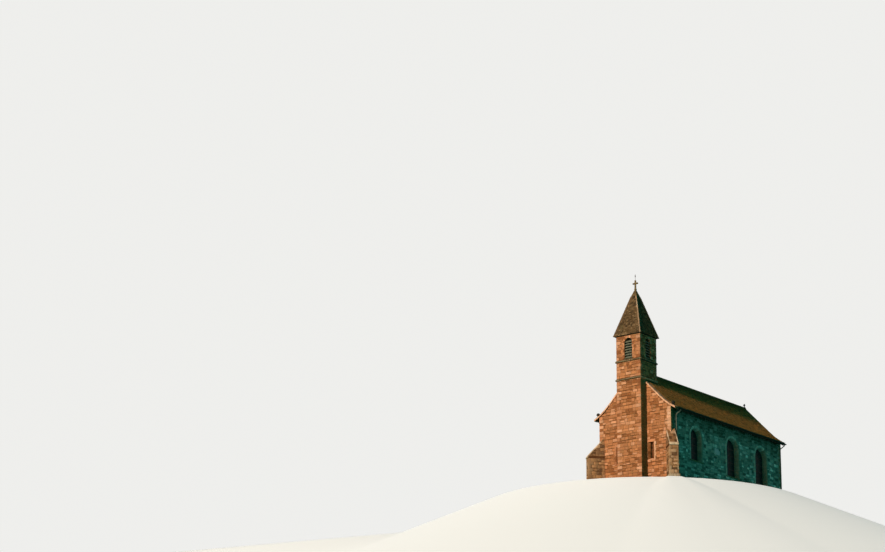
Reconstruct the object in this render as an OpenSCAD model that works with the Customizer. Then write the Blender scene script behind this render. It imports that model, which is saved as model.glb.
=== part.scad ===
// Small stone chapel with a square front tower and a tiled spire.
// The origin is on the ground at the middle of the chapel's reach, the front faces -Y and up is +Z.
// All sizes are in millimetres.

/* [Nave] */
// Outer width of the nave
nave_w = 7200; // [6800:50:7600]
// Outer length of the nave
nave_l = 17300; // [16800:50:18500]
// Height of the side walls at their outer face, under the roof
wall_h = 6240; // [6000:20:6500]
// Thickness of the nave walls
wall_t = 700; // [600:10:800]
// Height of the stone floor above the ground
floor_h = 150; // [120:10:200]

/* [Roof] */
// Slope of the roof above its swept foot, in degrees
roof_pitch = 45.6; // [43:0.2:48]
// Slope of the roof at its eaves, in degrees
eaves_pitch = 26.5; // [20:0.5:34]
// Plan width over which the roof sweeps out
sweep_w = 1450; // [1000:50:1800]
// Plan distance from the side wall to the roof's lower edge
eaves_out = 450; // [350:10:550]
// Upright depth of boards, battens and tiles together
roof_t = 200; // [150:10:240]
// How far the roof stands out over the rear gable
verge_out = 90; // [40:10:200]
// Radius of the ridge tiles
ridge_tile_r = 130; // [110:5:160]
// How deep the middle of the ridge tiles lies under the ridge
ridge_tile_sink = 58; // [40:2:80]
// Height of the rod on the rear end of the ridge
ridge_finial_h = 330; // [200:10:450]
// Radius of that rod
ridge_finial_r = 34; // [24:2:44]
// Height of the wider tip of that rod
ridge_tip_h = 130; // [80:5:160]

/* [Rafter feet] */
// Width of a rafter
rafter_w = 90; // [60:5:120]
// Upright depth of a rafter's foot
rafter_h = 100; // [80:5:120]
// Distance from one rafter to the next, about
rafter_pitch = 600; // [450:10:800]
// Distance from a rafter's end to the roof's lower edge
rafter_in = 80; // [60:5:120]

/* [Gable copings] */
// How far a coping stands out in front of the gable wall
coping_out = 80; // [40:10:120]
// How far a coping lies in over the gable wall
coping_seat = 350; // [250:10:450]
// How much lower than the tiles the top of a coping lies
coping_drop = 45; // [20:5:60]
// How far the foot of a coping runs on past the roof's lower edge
coping_past = 60; // [30:5:90]
// Radius of the knob at the foot of a coping
knob_r = 110; // [80:5:130]
// Radius of the knob's neck
knob_neck_r = 60; // [45:5:75]
// Height of the knob's middle above the coping
knob_rise = 176; // [140:2:200]
// Distance of the knob from the outer end of its coping
knob_in = 310; // [250:10:400]
// Distance of the knob's middle behind the wall's face
knob_back = 100; // [60:10:150]

/* [Tower] */
// Width of the square tower
tower_w = 2400; // [2200:20:2600]
// How far the tower stands forward of the front wall
tower_out = 830; // [600:10:1000]
// Thickness of the tower walls
tower_t = 450; // [380:10:520]
// Clear height from the roof beside the tower to the lower string course
lower_string_gap = 120; // [60:10:300]
// Height of the upper string course above the ridge
upper_string_rise = 484; // [400:4:700]
// Height of a string course
string_h = 200; // [160:10:240]
// Height of a string course's upright edge
string_edge_h = 110; // [80:5:140]
// How far a string course stands out
string_out = 90; // [60:5:120]

/* [Belfry] */
// Height of the belfry walls above the upper string course
belfry_h = 2080; // [1950:10:2400]
// Width of an opening
belfry_w = 790; // [650:10:900]
// How far the crown of an opening lies under the top of the walls
belfry_crown_drop = 220; // [150:10:350]
// Height of the sill stone
belfry_sill_h = 100; // [80:5:150]
// How far the sill stone stands out
belfry_sill_out = 50; // [30:5:80]
// Fall of the sill stone's top towards its outer edge
belfry_sill_fall = 40; // [20:5:60]
// Number of louvre boards in an opening
louvre_count = 7; // [5:1:9]
// Length of a louvre board down its slope
louvre_depth = 300; // [200:10:320]
// Thickness of a louvre board
louvre_t = 30; // [20:1:40]
// Slope of the louvre boards, in degrees
louvre_slope = 38; // [30:1:45]
// Depth of the louvre boards' lower edges behind the wall's face
louvre_in = 60; // [40:5:90]
// Clear height from the sill stone to the lowest board
louvre_lift = 30; // [15:5:60]

/* [Spire] */
// How far the spire stands out over the tower walls
spire_out = 150; // [100:5:200]
// Height of the spire's point, if its slopes ran on, above the belfry walls
spire_h = 4480; // [4200:20:4900]
// Upright depth of the spire's lower edge
spire_edge_h = 60; // [40:5:90]
// Thickness of the spire's shell, measured level
spire_t = 130; // [100:10:180]
// Height of the solid head of the spire under its cap
spire_head_h = 200; // [120:10:300]
// Width of a hip tile
hip_w = 90; // [60:5:120]
// How far under the spire's point the stone cap begins
cap_drop = 810; // [700:10:1000]
// Height of the cap's long foot
cap_h = 500; // [420:10:560]
// How far the cap stands out over the spire's faces
cap_out = 35; // [20:5:60]
// Width of the step between the cap's foot and its head
cap_step = 25; // [10:5:35]
// Height of the cap's head
cap_head_h = 180; // [120:10:240]
// Height of the cross
cross_h = 760; // [600:10:900]
// Width of the cross over its arms
cross_w = 500; // [400:10:600]
// Thickness of the cross and its arms
cross_t = 130; // [100:5:150]
// Height of the middle of the arms above the cap
cross_arm_z = 470; // [380:10:520]
// Height of the rod above the cross
rod_h = 570; // [450:10:700]
// Radius of the rod
rod_r = 14; // [10:1:20]
// Height of the rod's tip
rod_tip_h = 320; // [240:10:400]
// Radius of the widest part of the tip
rod_tip_r = 42; // [30:2:60]

/* [Side windows] */
// Distance of the first window's middle from the front of the nave
first_window_in = 3730; // [3400:10:4200]
// Distance of the middle window behind the middle of the nave
middle_window_past = 730; // [300:10:1000]
// Distance of the last window's middle from the rear of the nave
last_window_in = 3350; // [2600:10:3600]
// Width of the first window
first_window_w = 1650; // [1400:10:1900]
// Width of the other windows
window_w = 1850; // [1500:10:2000]
// How far the first window's crown lies under the top of the wall
first_crown_drop = 1200; // [900:10:1500]
// How far the other crowns lie under the top of the wall
crown_drop = 1030; // [900:10:1400]
// Height of the foot of the first window's glass above the ground
first_glass_foot_z = 2340; // [2000:10:2700]
// Height of the foot of the other windows' glass above the ground
glass_foot_z = 1920; // [1700:10:2400]
// Width of the dressed stones around a window
surround_w = 180; // [120:10:240]
// How far the dressed stones stand out from rough walling
surround_out = 20; // [10:5:40]
// Depth of the glass behind the wall's face
glass_depth = 360; // [280:10:420]
// How much a reveal narrows on each side on its way to the glass
reveal_splay = 130; // [60:10:180]
// Fall of a sill towards its outer edge
sill_fall = 140; // [80:10:200]
// Height of a sill's outer edge
sill_edge_h = 80; // [60:5:120]
// How far a sill stands out
sill_out = 60; // [40:5:90]
// Thickness of the glazing with its lead
glass_t = 30; // [16:2:40]

/* [Front windows] */
// Distance of a front window from the tower's side
slit_gap = 60; // [40:10:160]
// Width of a front window at the wall's face
slit_w = 640; // [560:10:720]
// Width of its clear slit
slit_clear_w = 260; // [200:10:320]
// Height of the slit's foot above the ground
slit_foot_z = 2060; // [1700:10:2300]
// Height of the clear slit
slit_h = 1360; // [1100:10:1600]
// Depth of the splay at the wall's face
slit_splay_d = 150; // [100:10:220]
// Fall of the sloping sill at the foot of the splay
slit_sill_fall = 140; // [80:10:200]
// Depth of the glass behind the wall's face
slit_glass_in = 300; // [240:10:400]

/* [Buttresses] */
// Width of a buttress
buttress_w = 720; // [600:10:800]
// Reach of a buttress from the corner of the nave
buttress_l = 1090; // [900:10:1200]
// Height of its sloping top at the corner of the nave
buttress_top_z = 4050; // [3900:10:4400]
// Slope of its top, in degrees
weathering_slope = 47.7; // [44:0.1:49]
// How far the drip mould stands out from the buttress
drip_out = 70; // [40:5:90]
// Height of the drip mould's edge
drip_h = 110; // [80:5:140]
// Height of the plinth
plinth_h = 300; // [240:10:380]
// How far the plinth stands out
plinth_out = 100; // [60:5:130]
// Height of the chamfer on the plinth
plinth_chamfer = 80; // [50:5:120]

/* [Gutters] */
// Outer radius of a gutter
gutter_r = 75; // [60:1:90]
// Thickness of gutter and pipe metal
gutter_t = 8; // [5:1:12]
// Height of a gutter's rim above the underside of the roof's edge
gutter_lift = 90; // [60:5:120]
// Clear length between a coping and the end of its gutter
gutter_gap = 20; // [10:5:40]
// Distance from one gutter strap to the next
strap_pitch = 1500; // [1000:50:2000]
// Width of a gutter strap
strap_w = 40; // [25:1:50]
// Thickness of a gutter strap
strap_t = 4; // [3:1:6]
// Height of a strap's tab above the gutter's rim
strap_up = 80; // [50:5:100]
// Depth of a strap's tab under the gutter's rim
strap_down = 60; // [40:5:70]

/* [Downpipes] */
// Radius of a downpipe
pipe_r = 45; // [38:1:55]
// Clear space between a downpipe and its wall
pipe_gap = 20; // [12:1:30]
// Height of the upright outlet under a gutter
outlet_h = 110; // [90:5:160]
// Fall of the swan neck between gutter and wall
swan_fall = 260; // [200:10:340]
// Length along the pipe over which a bend is rounded
bend_l = 90; // [60:5:100]
// Distance of the front downpipe from the front of the nave
front_pipe_y = 730; // [680:10:900]
// Distance of the rear downpipe from the rear of the nave
rear_pipe_y = 160; // [120:10:300]
// Height at which the shoe of a downpipe turns out
shoe_z = 230; // [200:10:300]
// Reach of the shoe
shoe_out = 120; // [100:5:160]
// Height of the shoe's open end
shoe_end_z = 60; // [50:5:90]
// Number of clips that hold a downpipe to its wall
clip_count = 4; // [3:1:6]
// Height of a clip
clip_h = 40; // [30:2:50]
// Thickness of a clip's ring
clip_t = 8; // [5:1:10]
// Width of the arm between a clip and the wall
clip_arm_w = 24; // [16:2:30]

/* [Doorway] */
// Clear width of the doorway in the rear gable
door_w = 1300; // [1100:10:1500]
// Height of the doorway's crown above the floor
door_h = 2550; // [2300:10:2800]
// Depth of the door behind the wall's face
door_depth = 280; // [200:10:340]
// Thickness of the door's boards
door_t = 60; // [50:2:80]
// Thickness of the ledges behind the boards
ledge_t = 40; // [30:2:50]
// Height of a ledge
ledge_h = 180; // [140:10:220]
// Distance of a ledge's ends from the edges of the door
ledge_in = 60; // [40:5:90]
// Thickness of the hinge straps
iron_t = 6; // [4:1:9]
// Length of a hinge strap
hinge_l = 860; // [600:10:950]
// Width of a hinge strap
hinge_w = 56; // [40:2:70]
// Distance of the hinge straps from the edge of the door
hinge_in = 15; // [10:1:30]

/* [Hidden] */
// Overlap that lets a cut pass clear through a face
cut = 10;
// Faces of round arches, of thin round bars and knobs, and of the swept downpipes
arch_fn = 96;
rod_fn = 24;
pipe_fn = 12;
// Steps that round a bend of a pipe
bend_steps = 4;
// Steps that draw the swept foot of the roof
sweep_steps = 6;

half_w = nave_w / 2;
half_tower = tower_w / 2;
eaves_x = half_w + eaves_out;
sweep_x = eaves_x - sweep_w;
buttress_reach = (buttress_l + plinth_out + buttress_w / 2 + plinth_out) * sin(45);
// The origin lies midway between the foremost and the rearmost point
front_y = -(nave_l + verge_out - buttress_reach) / 2;
rear_y = front_y + nave_l;
tower_y = front_y - tower_out + half_tower;
tower_front_y = tower_y - half_tower;
tower_back_y = tower_y + half_tower;

// Drop of the roof along its swept foot, at the plan distance d from where the sweep starts
function swept(d) = d * tan(roof_pitch) - d * d * (tan(roof_pitch) - tan(eaves_pitch)) / (2 * sweep_w);
// The swept foot as points (distance from the centre line, drop from the ridge)
sweep_line = [
    for (i = [0 : sweep_steps])
        let (d = sweep_w * i / sweep_steps)
        [sweep_x + d, sweep_x * tan(roof_pitch) + swept(d)]
];
// Drop of the roof from the ridge to the distance x from the centre line
function roof_drop(x) =
    x < sweep_x ? x * tan(roof_pitch) : lookup(x, sweep_line) + max(0, x - eaves_x) * tan(eaves_pitch);
ridge_z = wall_h + roof_t + roof_drop(half_w);
function roof_top(x) = ridge_z - roof_drop(x);
function roof_under(x) = roof_top(x) - roof_t;
// Distances from x0 to x1, with the points of the swept foot between them
function roof_xs(x0, x1) = concat([x0], [for (p = sweep_line) if (p[0] > x0 && p[0] < x1) p[0]], [x1]);
function reversed(list) = [for (i = [len(list) - 1 : -1 : 0]) list[i]];
// Closes the right half of an outline with its mirror image
function mirrored(half) = concat(half, [for (p = reversed(half)) if (p[0] != 0) [-p[0], p[1]]]);

lower_string_z = roof_top(half_tower) + lower_string_gap;
upper_string_z = ridge_z + upper_string_rise;
belfry_z = upper_string_z + string_h;
belfry_mid_z = belfry_z + belfry_sill_h;
tower_h = belfry_z + belfry_h;
belfry_crown_z = tower_h - belfry_crown_drop;

spire_foot_z = tower_h + spire_edge_h;
spire_apex_z = tower_h + spire_h;
// Half-width of the spire at a height
function spire_half(z) = (half_tower + spire_out) * (spire_apex_z - z) / (spire_apex_z - spire_foot_z);
cap_z = spire_apex_z - cap_drop;
cap_neck_z = cap_z + cap_h;
cap_top_z = cap_neck_z + cap_head_h;
cap_neck_half = spire_half(cap_neck_z);

window_at = [first_window_in, nave_l / 2 + middle_window_past, nave_l - last_window_in];
window_ws = [first_window_w, window_w, window_w];
crown_at = [wall_h - first_crown_drop, wall_h - crown_drop, wall_h - crown_drop];
glass_foot_at = [first_glass_foot_z, glass_foot_z, glass_foot_z];
windows = [0 : len(window_at) - 1];

slit_x = half_tower + slit_gap + slit_w / 2;
slit_head_z = slit_foot_z + slit_h;
gutter_x = eaves_x + gutter_r;
gutter_z = roof_under(eaves_x) + gutter_lift;
pipe_x = half_w + pipe_gap + pipe_r;
door_crown_z = floor_h + door_h;
door_face_y = rear_y - door_depth;
ledge_zs = [
    floor_h + ledge_h, floor_h + (door_h - door_w / 2 - ledge_h) / 2, door_crown_z - door_w / 2 - ledge_h
];

// Keeps a shape and adds its mirror image across the centre line
module both_sides() {
    children();
    mirror([1, 0, 0]) children();
}

// Draws a front view outline and carries it from y0 to y1
module along_y(y0, y1) {
    translate([0, y1, 0]) rotate([90, 0, 0]) linear_extrude(y1 - y0) children();
}

// Draws a side view outline (y, z) and carries it from x0 to x1
module along_x(x0, x1) {
    translate([x0, 0, 0]) rotate([90, 0, 90]) linear_extrude(x1 - x0) children();
}

// Turns a shape made for the front of the tower to the given face
module tower_face(turn) {
    translate([0, tower_y, 0]) rotate(turn) translate([0, -tower_y, 0]) children();
}

// Outline of a round-headed opening about its own centre line
module arch_outline(w, foot, crown) {
    translate([-w / 2, foot]) square([w, crown - w / 2 - foot]);
    translate([0, crown - w / 2]) circle(d = w, $fn = arch_fn);
}

// Outline of the gable to one side, from the ground up to the underside of the roof
module half_gable(x0, x1) {
    polygon(concat([[x0, 0]], [for (x = roof_xs(x0, x1)) [x, roof_under(x)]], [[x1, 0]]));
}

module whole_gable() {
    polygon(mirrored(concat([[half_w, 0]], [for (x = reversed(roof_xs(0, half_w))) [x, roof_under(x)]])));
}

// Outline of a layer that follows the roof, between two depths under the tiles
module roof_layer(x0, x1, depth0, depth1) {
    xs = roof_xs(x0, x1);
    upper = [for (x = xs) [x, roof_top(x) - depth0]];
    lower = [for (x = reversed(xs)) [x, roof_top(x) - depth1]];
    polygon(concat(upper, lower));
}

// Splayed reveal of a round-headed window, facing +X, from behind the glass line to past the outer face
module reveal_cut(w, foot, crown) {
    slope = 2 * reveal_splay / glass_depth;
    w_in = w - 2 * reveal_splay - slope * cut;
    w_out = w + slope * (surround_out + cut);
    x_in = -glass_depth - cut;
    x_out = surround_out + cut;
    spring = crown - w / 2;
    translate([0, 0, foot]) linear_extrude(spring - foot)
        polygon([[x_in, -w_in / 2], [x_out, -w_out / 2], [x_out, w_out / 2], [x_in, w_in / 2]]);
    translate([x_in, 0, spring]) rotate([0, 90, 0])
        cylinder(d1 = w_in, d2 = w_out, h = x_out - x_in, $fn = arch_fn);
}

// Height of the underside of a window's sill
function sill_under(i) = glass_foot_at[i] - sill_fall - sill_edge_h;

// Places a shape at window i of the right side wall, with x counted out from the wall's face
module at_window(i) {
    translate([half_w, front_y + window_at[i], 0]) children();
}

// Outline of the hole that takes a window with its dressed stones
module window_outline(i) {
    arch_outline(window_ws[i] + 2 * surround_w, sill_under(i), crown_at[i] + surround_w);
}

module sill_body(i) {
    half = window_ws[i] / 2 + surround_w;
    translate([0, half, 0]) rotate([90, 0, 0]) linear_extrude(2 * half)
        polygon([
            [-glass_depth, sill_under(i)], [sill_out, sill_under(i)],
            [sill_out, sill_under(i) + sill_edge_h], [-glass_depth, glass_foot_at[i]]
        ]);
}

module floor() {
    color("#8f887c") difference() {
        translate([-half_w + wall_t, front_y + wall_t, 0])
            cube([nave_w - 2 * wall_t, nave_l - 2 * wall_t, floor_h]);
        translate([-half_tower, front_y, -cut]) cube([tower_w, tower_back_y - front_y, floor_h + 2 * cut]);
    }
}

// The clear slit, its deep splay and its sloping sill
module slit_cut() {
    splay = (slit_w - slit_clear_w) / 2;
    over = splay * cut / slit_splay_d;
    foot_z = slit_foot_z - slit_sill_fall - cut;
    translate([slit_x, front_y, 0]) {
        translate([-slit_clear_w / 2, -cut, slit_foot_z]) cube([slit_clear_w, wall_t + 2 * cut, slit_h]);
        intersection() {
            translate([0, 0, foot_z]) linear_extrude(slit_head_z - foot_z)
                polygon([
                    [-slit_w / 2 - over, -cut], [slit_w / 2 + over, -cut],
                    [slit_clear_w / 2, slit_splay_d], [-slit_clear_w / 2, slit_splay_d]
                ]);
            along_x(-slit_w, slit_w)
                polygon([
                    [-cut, slit_foot_z - slit_sill_fall * (1 + cut / slit_splay_d)],
                    [slit_splay_d, slit_foot_z], [slit_splay_d, slit_head_z], [-cut, slit_head_z]
                ]);
        }
    }
}

module front_wall_right() {
    color("#c98a5e") difference() {
        along_y(front_y, front_y + wall_t) half_gable(half_tower, half_w);
        slit_cut();
    }
}

module front_wall_left() {
    mirror([1, 0, 0]) front_wall_right();
}

module side_wall_right() {
    color("#5f7a72") difference() {
        along_y(front_y + wall_t, rear_y - wall_t) half_gable(half_w - wall_t, half_w);
        for (i = windows) at_window(i) along_x(-wall_t - cut, cut) window_outline(i);
    }
}

module side_wall_left() {
    mirror([1, 0, 0]) side_wall_right();
}

module rear_wall() {
    color("#6f7f72") difference() {
        along_y(rear_y - wall_t, rear_y) whole_gable();
        along_y(rear_y - wall_t - cut, rear_y + cut)
            arch_outline(door_w + 2 * surround_w, -cut, door_crown_z + surround_w);
    }
}

// A tower wall that fills the full width, facing -Y at its outer face
module wide_wall(z0, z1) {
    translate([-half_tower, tower_front_y, z0]) cube([tower_w, tower_t, z1 - z0]);
}

// A tower wall that fits between the two wide ones, facing +X at its outer face
module narrow_wall(z0, z1) {
    translate([half_tower - tower_t, tower_front_y + tower_t, z0])
        cube([tower_t, tower_w - 2 * tower_t, z1 - z0]);
}

module tower_front_wall() {
    color("#c98a5e") wide_wall(0, upper_string_z);
}

module tower_rear_wall() {
    tower_face(180) tower_front_wall();
}

module tower_right_wall() {
    color("#c98a5e") narrow_wall(0, upper_string_z);
}

module tower_left_wall() {
    mirror([1, 0, 0]) tower_right_wall();
}

// Side outline of a string course: flat underside, upright edge, sloping top
module string_outline(w) {
    polygon(mirrored([[w / 2, 0], [w / 2, string_edge_h], [w / 2 - string_out, string_h]]));
}

module string_block(w) {
    intersection() {
        along_y(-w / 2, w / 2) string_outline(w);
        along_x(-w / 2, w / 2) string_outline(w);
    }
}

// Runs round the three outer sides of the tower
module lower_string() {
    w = tower_w + 2 * string_out;
    color("#c99f74") translate([0, tower_y, lower_string_z]) difference() {
        string_block(w);
        translate([-half_tower, -half_tower, -cut]) cube([tower_w, w + cut, string_h + 2 * cut]);
        translate([-w, half_tower, -cut]) cube([2 * w, w, string_h + 2 * cut]);
    }
}

// Lies on the tower walls and carries the belfry
module upper_string() {
    hollow = tower_w - 2 * tower_t;
    color("#c99f74") translate([0, tower_y, upper_string_z]) difference() {
        string_block(tower_w + 2 * string_out);
        translate([-hollow / 2, -hollow / 2, -cut]) cube([hollow, hollow, string_h + 2 * cut]);
    }
}

module belfry_hole() {
    along_y(tower_front_y - cut, tower_front_y + tower_t + cut)
        arch_outline(belfry_w, belfry_z - cut, belfry_crown_z);
}

module belfry_front_wall() {
    color("#cf9065") difference() {
        wide_wall(belfry_z, tower_h);
        belfry_hole();
    }
}

module belfry_rear_wall() {
    tower_face(180) belfry_front_wall();
}

module belfry_right_wall() {
    color("#cf9065") difference() {
        narrow_wall(belfry_z, tower_h);
        tower_face(90) belfry_hole();
    }
}

module belfry_left_wall() {
    mirror([1, 0, 0]) belfry_right_wall();
}

module belfry_sill() {
    along_x(-belfry_w / 2, belfry_w / 2)
        polygon([
            [tower_front_y - belfry_sill_out, belfry_z], [tower_front_y + tower_t, belfry_z],
            [tower_front_y + tower_t, belfry_mid_z], [tower_front_y + louvre_in, belfry_mid_z],
            [tower_front_y - belfry_sill_out, belfry_mid_z - belfry_sill_fall]
        ]);
}

module belfry_sills() {
    color("#8a8a6a") for (turn = [0 : 90 : 270]) tower_face(turn) belfry_sill();
}

// Sloping boards, cut to the opening that holds them
module louvre_set() {
    rise = belfry_crown_z - belfry_mid_z - louvre_depth * sin(louvre_slope);
    intersection() {
        along_y(tower_front_y, tower_front_y + tower_t) arch_outline(belfry_w, belfry_mid_z, belfry_crown_z);
        for (i = [0 : louvre_count - 1])
            translate([0, tower_front_y + louvre_in, belfry_mid_z + louvre_lift + i * rise / louvre_count])
                rotate([louvre_slope, 0, 0])
                translate([-belfry_w, 0, 0]) cube([2 * belfry_w, louvre_depth, louvre_t]);
    }
}

module louvres() {
    color("#7d7f63") for (turn = [0 : 90 : 270]) tower_face(turn) louvre_set();
}

// A square frustum between two heights, over the tower's centre, with the given half-widths
module pyramid(z0, z1, half0, half1) {
    translate([0, tower_y, z0])
        polyhedron(
            points = [
                [-half0, -half0, 0], [half0, -half0, 0], [half0, half0, 0], [-half0, half0, 0],
                [-half1, -half1, z1 - z0], [half1, -half1, z1 - z0],
                [half1, half1, z1 - z0], [-half1, half1, z1 - z0]
            ],
            faces = [[0, 1, 2, 3], [7, 6, 5, 4], [1, 0, 4, 5], [2, 1, 5, 6], [3, 2, 6, 7], [0, 3, 7, 4]]
        );
}

// The hollow shell of rafters, boards and tiles
module spire() {
    foot_half = spire_half(spire_foot_z);
    hollow_z = cap_z - spire_head_h;
    color("#8a5f3c") difference() {
        union() {
            pyramid(tower_h, spire_foot_z, foot_half, foot_half);
            pyramid(spire_foot_z, cap_z, foot_half, spire_half(cap_z));
        }
        pyramid(tower_h - cut, hollow_z, half_tower - spire_t, spire_half(hollow_z) - spire_t / 2);
    }
}

// A slim bar along the front right edge of the spire, half sunk in its faces
module hip_bar() {
    end_h = 1;
    hull() {
        for (z = [spire_foot_z + end_h / 2, cap_z - end_h / 2])
            translate([spire_half(z), tower_y - spire_half(z), z])
                rotate(45) cube([hip_w / 2, hip_w, end_h], center = true);
    }
}

module spire_hips() {
    color("#b39a78") for (turn = [0 : 90 : 270]) tower_face(turn) difference() {
        hip_bar();
        pyramid(spire_foot_z - cut, cap_z, spire_half(spire_foot_z - cut), spire_half(cap_z));
    }
}

module spire_cap() {
    color("#c0924e") {
        pyramid(cap_z, cap_neck_z, spire_half(cap_z) + cap_out, cap_neck_half);
        pyramid(cap_neck_z, cap_top_z, cap_neck_half - cap_step, cross_t / 2 + cap_step);
    }
}

module cross() {
    color("#b08440") translate([0, tower_y, cap_top_z]) {
        translate([-cross_t / 2, -cross_t / 2, 0]) cube([cross_t, cross_t, cross_h]);
        translate([0, 0, cross_arm_z]) cube([cross_w, cross_t, cross_t], center = true);
    }
}

// A thin rod with a spear-like tip, widest at a third of the tip's height
module spire_rod() {
    tip_z = rod_h - rod_tip_h;
    widest_z = tip_z + rod_tip_h / 3;
    color("#39424a") translate([0, tower_y, cap_top_z + cross_h]) {
        cylinder(r = rod_r, h = tip_z, $fn = rod_fn);
        translate([0, 0, tip_z]) cylinder(r1 = rod_r, r2 = rod_tip_r, h = widest_z - tip_z, $fn = rod_fn);
        translate([0, 0, widest_z])
            cylinder(r1 = rod_tip_r, r2 = rod_r / 7, h = rod_h - widest_z, $fn = rod_fn);
    }
}

// Boards, battens and tiles of one slope, cut round the tower
module roof_right() {
    color("#9a5b34") difference() {
        along_y(front_y + coping_seat, rear_y + verge_out) roof_layer(0, eaves_x, 0, roof_t);
        translate([-cut, front_y, 0]) cube([half_tower + cut, tower_back_y - front_y, spire_apex_z]);
    }
}

module roof_left() {
    mirror([1, 0, 0]) roof_right();
}

// The rafters' feet under the eaves, from the wall's face outwards
module rafter_feet_right() {
    first_y = front_y + coping_seat + rafter_w;
    last_y = rear_y - rafter_w;
    count = round((last_y - first_y) / rafter_pitch);
    color("#4f4538") for (i = [0 : count]) {
        y = first_y + i * (last_y - first_y) / count;
        along_y(y - rafter_w / 2, y + rafter_w / 2)
            roof_layer(half_w, eaves_x - rafter_in, roof_t, roof_t + rafter_h);
    }
}

module rafter_feet_left() {
    mirror([1, 0, 0]) rafter_feet_right();
}

module ridge_circle() {
    translate([0, ridge_z - ridge_tile_sink]) circle(r = ridge_tile_r, $fn = arch_fn);
}

// Half-round tiles that ride on both slopes
module ridge_tiles() {
    color("#7d4a2c") along_y(tower_back_y, rear_y + verge_out) difference() {
        ridge_circle();
        polygon(mirrored([[sweep_x, 0], [sweep_x, roof_top(sweep_x)], [0, ridge_z]]));
    }
}

module ridge_finial() {
    top_z = ridge_z - ridge_tile_sink + ridge_tile_r + ridge_finial_h;
    color("#4a5548") difference() {
        translate([0, rear_y + verge_out - 2 * ridge_finial_r, 0]) {
            translate([0, 0, ridge_z])
                cylinder(r = ridge_finial_r, h = top_z - ridge_tip_h - ridge_z, $fn = rod_fn);
            translate([0, 0, top_z - ridge_tip_h])
                cylinder(r1 = 1.8 * ridge_finial_r, r2 = 0.5 * ridge_finial_r, h = ridge_tip_h, $fn = rod_fn);
        }
        along_y(rear_y - wall_t, rear_y + verge_out + cut) ridge_circle();
    }
}

module front_coping_right() {
    along_y(front_y - coping_out, front_y + coping_seat)
        roof_layer(half_tower, eaves_x + coping_past, coping_drop, roof_t);
}

module front_copings() {
    color("#e0ac86") both_sides() front_coping_right();
}

// A round knob on a neck that is fitted to the sloping coping
module coping_knobs() {
    x = eaves_x + coping_past - knob_in;
    z = roof_top(x) - coping_drop;
    color("#3d3a34") both_sides() difference() {
        translate([x, front_y + knob_back, z]) {
            translate([0, 0, -knob_neck_r])
                cylinder(r = knob_neck_r, h = knob_neck_r + knob_rise, $fn = rod_fn);
            translate([0, 0, knob_rise]) sphere(r = knob_r, $fn = rod_fn);
        }
        front_coping_right();
    }
}

// Side outline of a buttress: u runs out from the corner of the nave, z runs up
module buttress_outline() {
    fall = tan(weathering_slope);
    nose = buttress_l + drip_out;
    nose_z = buttress_top_z - nose * fall;
    back = -buttress_w / 2;
    polygon([
        [back, 0], [buttress_l + plinth_out, 0], [buttress_l + plinth_out, plinth_h - plinth_chamfer],
        [buttress_l, plinth_h], [buttress_l, nose_z - drip_h], [nose, nose_z - drip_h], [nose, nose_z],
        [back, buttress_top_z - back * fall]
    ]);
}

// Front outline of a buttress across its width, with the plinth and the drip mould
module buttress_width() {
    half = buttress_w / 2;
    nose_z = buttress_top_z - (buttress_l + drip_out) * tan(weathering_slope);
    polygon(mirrored([
        [half + plinth_out, 0], [half + plinth_out, plinth_h - plinth_chamfer], [half, plinth_h],
        [half, nose_z - drip_h], [half + drip_out / 2, nose_z - drip_h], [half + drip_out / 2, nose_z],
        [half, nose_z + drip_out / 2], [half, ridge_z]
    ]));
}

module buttress_right() {
    color("#b99069") difference() {
        translate([half_w, front_y, 0]) rotate(-45) intersection() {
            along_y(-buttress_w, buttress_w) buttress_outline();
            along_x(-buttress_w, 2 * buttress_l) buttress_width();
        }
        translate([-half_w, front_y, -cut]) cube([nave_w, nave_l, ridge_z + 2 * cut]);
    }
}

module buttress_left() {
    mirror([1, 0, 0]) buttress_right();
}

// A half-round trough with straps that reach up onto the edge of the roof
module gutter_right() {
    y0 = front_y + coping_seat + gutter_gap;
    y1 = rear_y + verge_out;
    count = floor((y1 - y0 - strap_w) / strap_pitch);
    start = (y1 - y0 - count * strap_pitch) / 2;
    color("#30352f") {
        along_y(y0, y1) gutter_section(gutter_r);
        for (i = [0 : count])
            translate([0, y0 + start + i * strap_pitch - strap_w / 2, 0]) along_y(0, strap_w) strap_section();
    }
}

module gutter_section(r_out) {
    translate([gutter_x, gutter_z]) difference() {
        circle(r = r_out, $fn = rod_fn);
        circle(r = gutter_r - gutter_t, $fn = rod_fn);
        translate([-2 * r_out, 0]) square([4 * r_out, 2 * r_out]);
    }
}

module strap_section() {
    difference() {
        union() {
            gutter_section(gutter_r + strap_t);
            translate([eaves_x, gutter_z - strap_down]) square([gutter_t, strap_down + strap_up]);
        }
        translate([eaves_x - gutter_r, gutter_z - 2 * gutter_r]) square([gutter_r, 4 * gutter_r]);
    }
}

module gutter_left() {
    mirror([1, 0, 0]) gutter_right();
}

// Points that round the corner b between a and c, starting and ending a given way off
function rounded(a, b, c, off) =
    let (s = b + off * (a - b) / norm(a - b), e = b + off * (c - b) / norm(c - b))
    [for (t = [0 : 1 / bend_steps : 1]) (1 - t) * (1 - t) * s + 2 * t * (1 - t) * b + t * t * e];

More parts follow.
